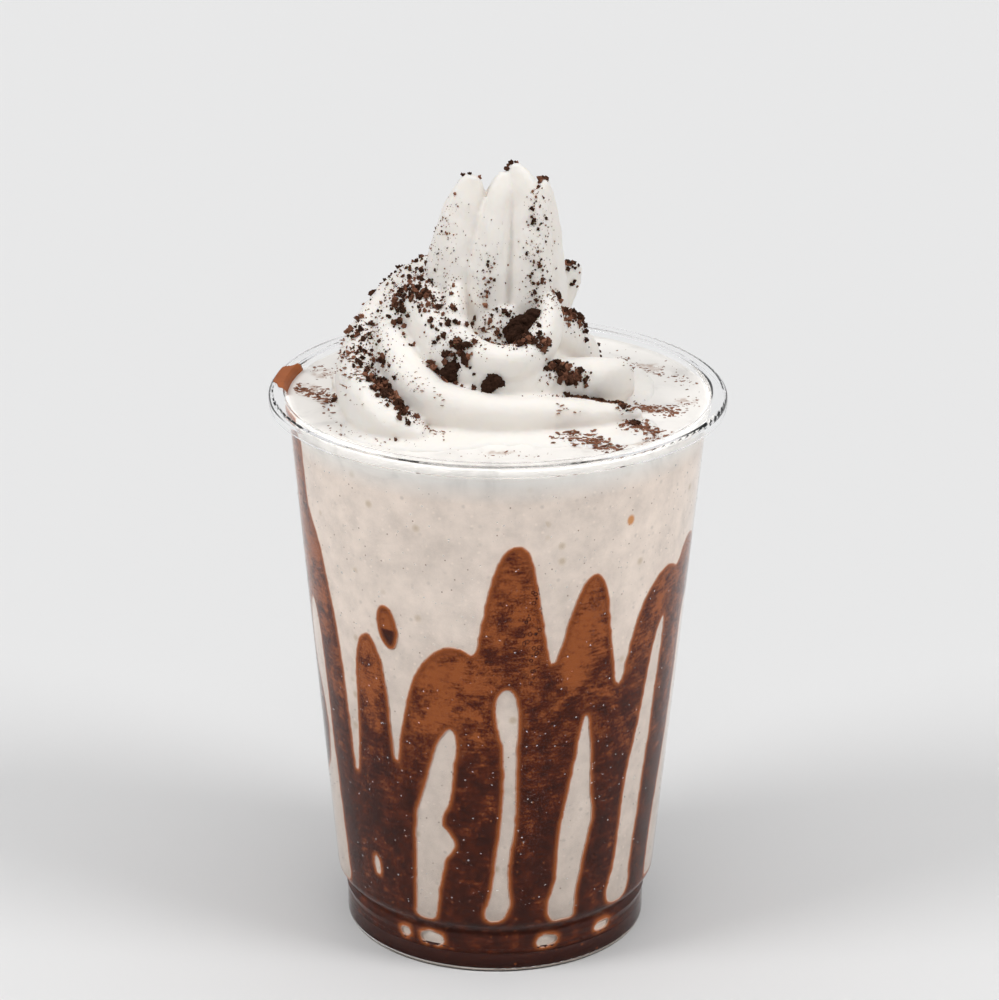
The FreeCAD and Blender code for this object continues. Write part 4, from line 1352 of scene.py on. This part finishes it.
class FRAPPE_OT_cookie(bpy.types.Operator):
    """Breaks the large pieces of cookie"""

    bl_idname = "frappe.cookie"
    bl_label = "Cookie pieces"

    def execute(self, context):
        for node, centre, size, lean, seed in LUMPS:
            pick = random.Random(seed)
            bm = bmesh.new()
            for _ in range(9):
                ball = bmesh.ops.create_icosphere(bm, subdivisions=2, radius=0.5)
                offset = Vector([pick.uniform(-0.3, 0.3) for _ in range(3)])
                grain = pick.uniform(0.5, 0.75)
                place = Matrix.Translation(offset) @ Matrix.Scale(grain, 4)
                bmesh.ops.transform(bm, matrix=place, verts=ball["verts"])
            shape = (
                Matrix.Translation(Vector(centre))
                @ Matrix.Rotation(math.radians(lean), 4, "Y")
                @ Matrix.Diagonal((*size, 1.0))
            )
            bmesh.ops.transform(bm, matrix=shape, verts=bm.verts)
            bm = merged_by_voxels(bm, 0.24, 1, (0.5, 0.9), (0.34, 2.4))
            broken = node + "_broken"
            finish_piece(bm, broken, material_for("cookie"), [node], smooth=False)
        return {"FINISHED"}


class FRAPPE_OT_crumbs(bpy.types.Operator):
    """Scatters the cookie crumbs over the cream and the drink"""

    bl_idname = "frappe.crumbs"
    bl_label = "Crumbs"

    def execute(self, context):
        pick = random.Random(context.scene.frappe_crumbs.seed)
        tree = surface_tree([bpy.data.objects[name] for name in ("piped_cream", "blended_drink")])
        for name, strips, detail, light in (
            ("cookie_crumbs", CRUMB_STRIPS, 2, 0.06),
            ("cookie_dust", DUST_STRIPS, 1, 0.4),
        ):
            templates = [crumb_template(seed, detail, 1.1) for seed in range(8)]
            strew(name, templates, crumb_placements(tree, pick, strips, len(templates), light))
            for mesh in templates:
                bpy.data.meshes.remove(mesh)
        return {"FINISHED"}


class FRAPPE_OT_dew(bpy.types.Operator):
    """Beads dew on the outside of the wall"""

    bl_idname = "frappe.dew"
    bl_label = "Dew"

    def execute(self, context):
        settings = context.scene.frappe_tumbler
        pick = random.Random(3)
        bm = bmesh.new()
        bmesh.ops.create_icosphere(bm, subdivisions=2, radius=1.0)
        under = [v for v in bm.verts if v.co.z < -0.35]
        bmesh.ops.delete(bm, geom=under, context="VERTS")
        bmesh.ops.holes_fill(bm, edges=bm.edges, sides=0)
        drop = bpy.data.meshes.new("drop")
        bm.to_mesh(drop)
        bm.free()
        placements = []
        slope = math.atan2(STRAIGHT_HIGH[1] - STRAIGHT_LOW[1], STRAIGHT_RISE)
        for _ in range(settings.dew_drops):
            bearing = pick.uniform(-180.0, 180.0)
            height = pick.uniform(14.0, 116.0)
            radius = settings.dew_radius / MM * (0.3 + 0.7 * pick.random() ** 3)
            outward = on_bearing(math.cos(slope), bearing, -math.sin(slope))
            spot = on_bearing(inner_radius(height) + WALL_THICKNESS, bearing, height)
            turn = outward.to_track_quat("Z", "Y").to_matrix().to_4x4()
            shape = Matrix.Diagonal((radius, radius, radius * 0.55, 1.0))
            placements.append((0, Matrix.Translation(spot) @ turn @ shape))
        bm = bmesh.new()
        add_copies(bm, [drop], placements)
        bpy.data.meshes.remove(drop)
        finish_piece(bm, "dew_drops", material_for("dew"))
        return {"FINISHED"}


class FRAPPE_OT_studio(bpy.types.Operator):
    """Sets up the floor, the lamps and the camera"""

    bl_idname = "frappe.studio"
    bl_label = "Studio"

    def execute(self, context):
        scene = context.scene
        settings = scene.frappe_studio
        scene.view_settings.view_transform = "Standard"
        bm = bmesh.new()
        bmesh.ops.create_grid(bm, x_segments=1, y_segments=1, size=12.0)
        mesh = bpy.data.meshes.new("floor")
        bm.to_mesh(mesh)
        bm.free()
        colour = (*settings.floor_colour, 1.0)
        inputs = {"Base Color": colour, "Roughness": 0.75, "Specular IOR Level": 0.2}
        mesh.materials.append(new_material("studio floor", inputs)[0])
        floor = bpy.data.objects.new("floor", mesh)
        scene.collection.objects.link(floor)
        world = bpy.data.worlds.new("studio")
        world.use_nodes = True
        tree = world.node_tree
        sky = tree.nodes["Background"]
        sky.inputs["Color"].default_value = (0.98, 0.985, 1.0, 1.0)
        rays = add_node(tree, "ShaderNodeLightPath").outputs
        seen = rays["Is Camera Ray"]
        for kind in ("Is Glossy Ray", "Is Transmission Ray"):
            seen = maths(tree, "MAXIMUM", seen, rays[kind])
        bounced = maths(tree, "MINIMUM", rays["Diffuse Depth"], 1.0)
        seen = maths(tree, "SUBTRACT", seen, bounced, clamp=True)
        strength = maths(tree, "MULTIPLY_ADD", seen, 0.65, 0.15)
        tree.links.new(strength, sky.inputs["Strength"])
        scene.world = world
        lamps = (
            ("left lamp", -66.0, 42.0, 22.0, 1.0),
            ("right lamp", 66.0, 42.0, 22.0, 1.0),
            ("front lamp", 0.0, 34.0, 50.0, 0.1),
            ("overhead lamp", 0.0, 84.0, 70.0, 1.3),
        )
        for name, bearing, elevation, spread, strength in lamps:
            lamp = bpy.data.lights.new(name, "SUN")
            lamp.angle = math.radians(spread)
            lamp.energy = strength
            holder = bpy.data.objects.new(name, lamp)
            scene.collection.objects.link(holder)
            aim = -on_bearing(1.0, bearing, math.tan(math.radians(elevation)))
            holder.rotation_euler = aim.to_track_quat("-Z", "Y").to_euler()
        camera = bpy.data.cameras.new("camera")
        camera.lens = settings.lens
        camera.sensor_width = 36.0
        camera.clip_start = 0.01
        eye = bpy.data.objects.new("camera", camera)
        scene.collection.objects.link(eye)
        eye.location = (0.00045, -0.8037, 0.4065)
        tilt = Matrix.Rotation(math.radians(90.0 - 21.03), 4, "X")
        roll = Matrix.Rotation(math.radians(0.35), 4, "Z")
        eye.rotation_euler = (tilt @ roll).to_euler()
        scene.camera = eye
        return {"FINISHED"}


class FRAPPE_PT_panel(bpy.types.Panel):
    """Lists the pieces of the frappe in the sidebar"""

    bl_idname = "FRAPPE_PT_panel"
    bl_label = "Frappe"
    bl_space_type = "VIEW_3D"
    bl_region_type = "UI"
    bl_category = "Frappe"

    def draw(self, context):
        for operator in OPERATORS:
            self.layout.operator(operator.bl_idname)


SETTINGS = (
    ("frappe_tumbler", FrappeTumblerSettings),
    ("frappe_drink", FrappeDrinkSettings),
    ("frappe_sauce", FrappeSauceSettings),
    ("frappe_cream", FrappeCreamSettings),
    ("frappe_crumbs", FrappeCrumbSettings),
    ("frappe_studio", FrappeStudioSettings),
)
OPERATORS = (
    FRAPPE_OT_studio,
    FRAPPE_OT_tumbler,
    FRAPPE_OT_drink,
    FRAPPE_OT_sauce,
    FRAPPE_OT_smear,
    FRAPPE_OT_cream,
    FRAPPE_OT_cookie,
    FRAPPE_OT_crumbs,
    FRAPPE_OT_dew,
)


def register():
    """Registers the settings, the operators and the panel."""
    for name, group in SETTINGS:
        bpy.utils.register_class(group)
        setattr(bpy.types.Scene, name, PointerProperty(type=group))
    for kind in OPERATORS + (FRAPPE_PT_panel,):
        bpy.utils.register_class(kind)


def unregister():
    """Takes them all away again."""
    for kind in reversed(OPERATORS + (FRAPPE_PT_panel,)):
        bpy.utils.unregister_class(kind)
    for name, group in reversed(SETTINGS):
        delattr(bpy.types.Scene, name)
        bpy.utils.unregister_class(group)


def main():
    """Builds every piece."""
    register()
    bpy.ops.frappe.studio()
    bpy.ops.frappe.tumbler()
    bpy.ops.frappe.drink()
    bpy.ops.frappe.sauce()
    bpy.ops.frappe.smear()
    bpy.ops.frappe.cream()
    bpy.ops.frappe.cookie()
    bpy.ops.frappe.crumbs()
    bpy.ops.frappe.dew()


if __name__ == "__main__":
    main()
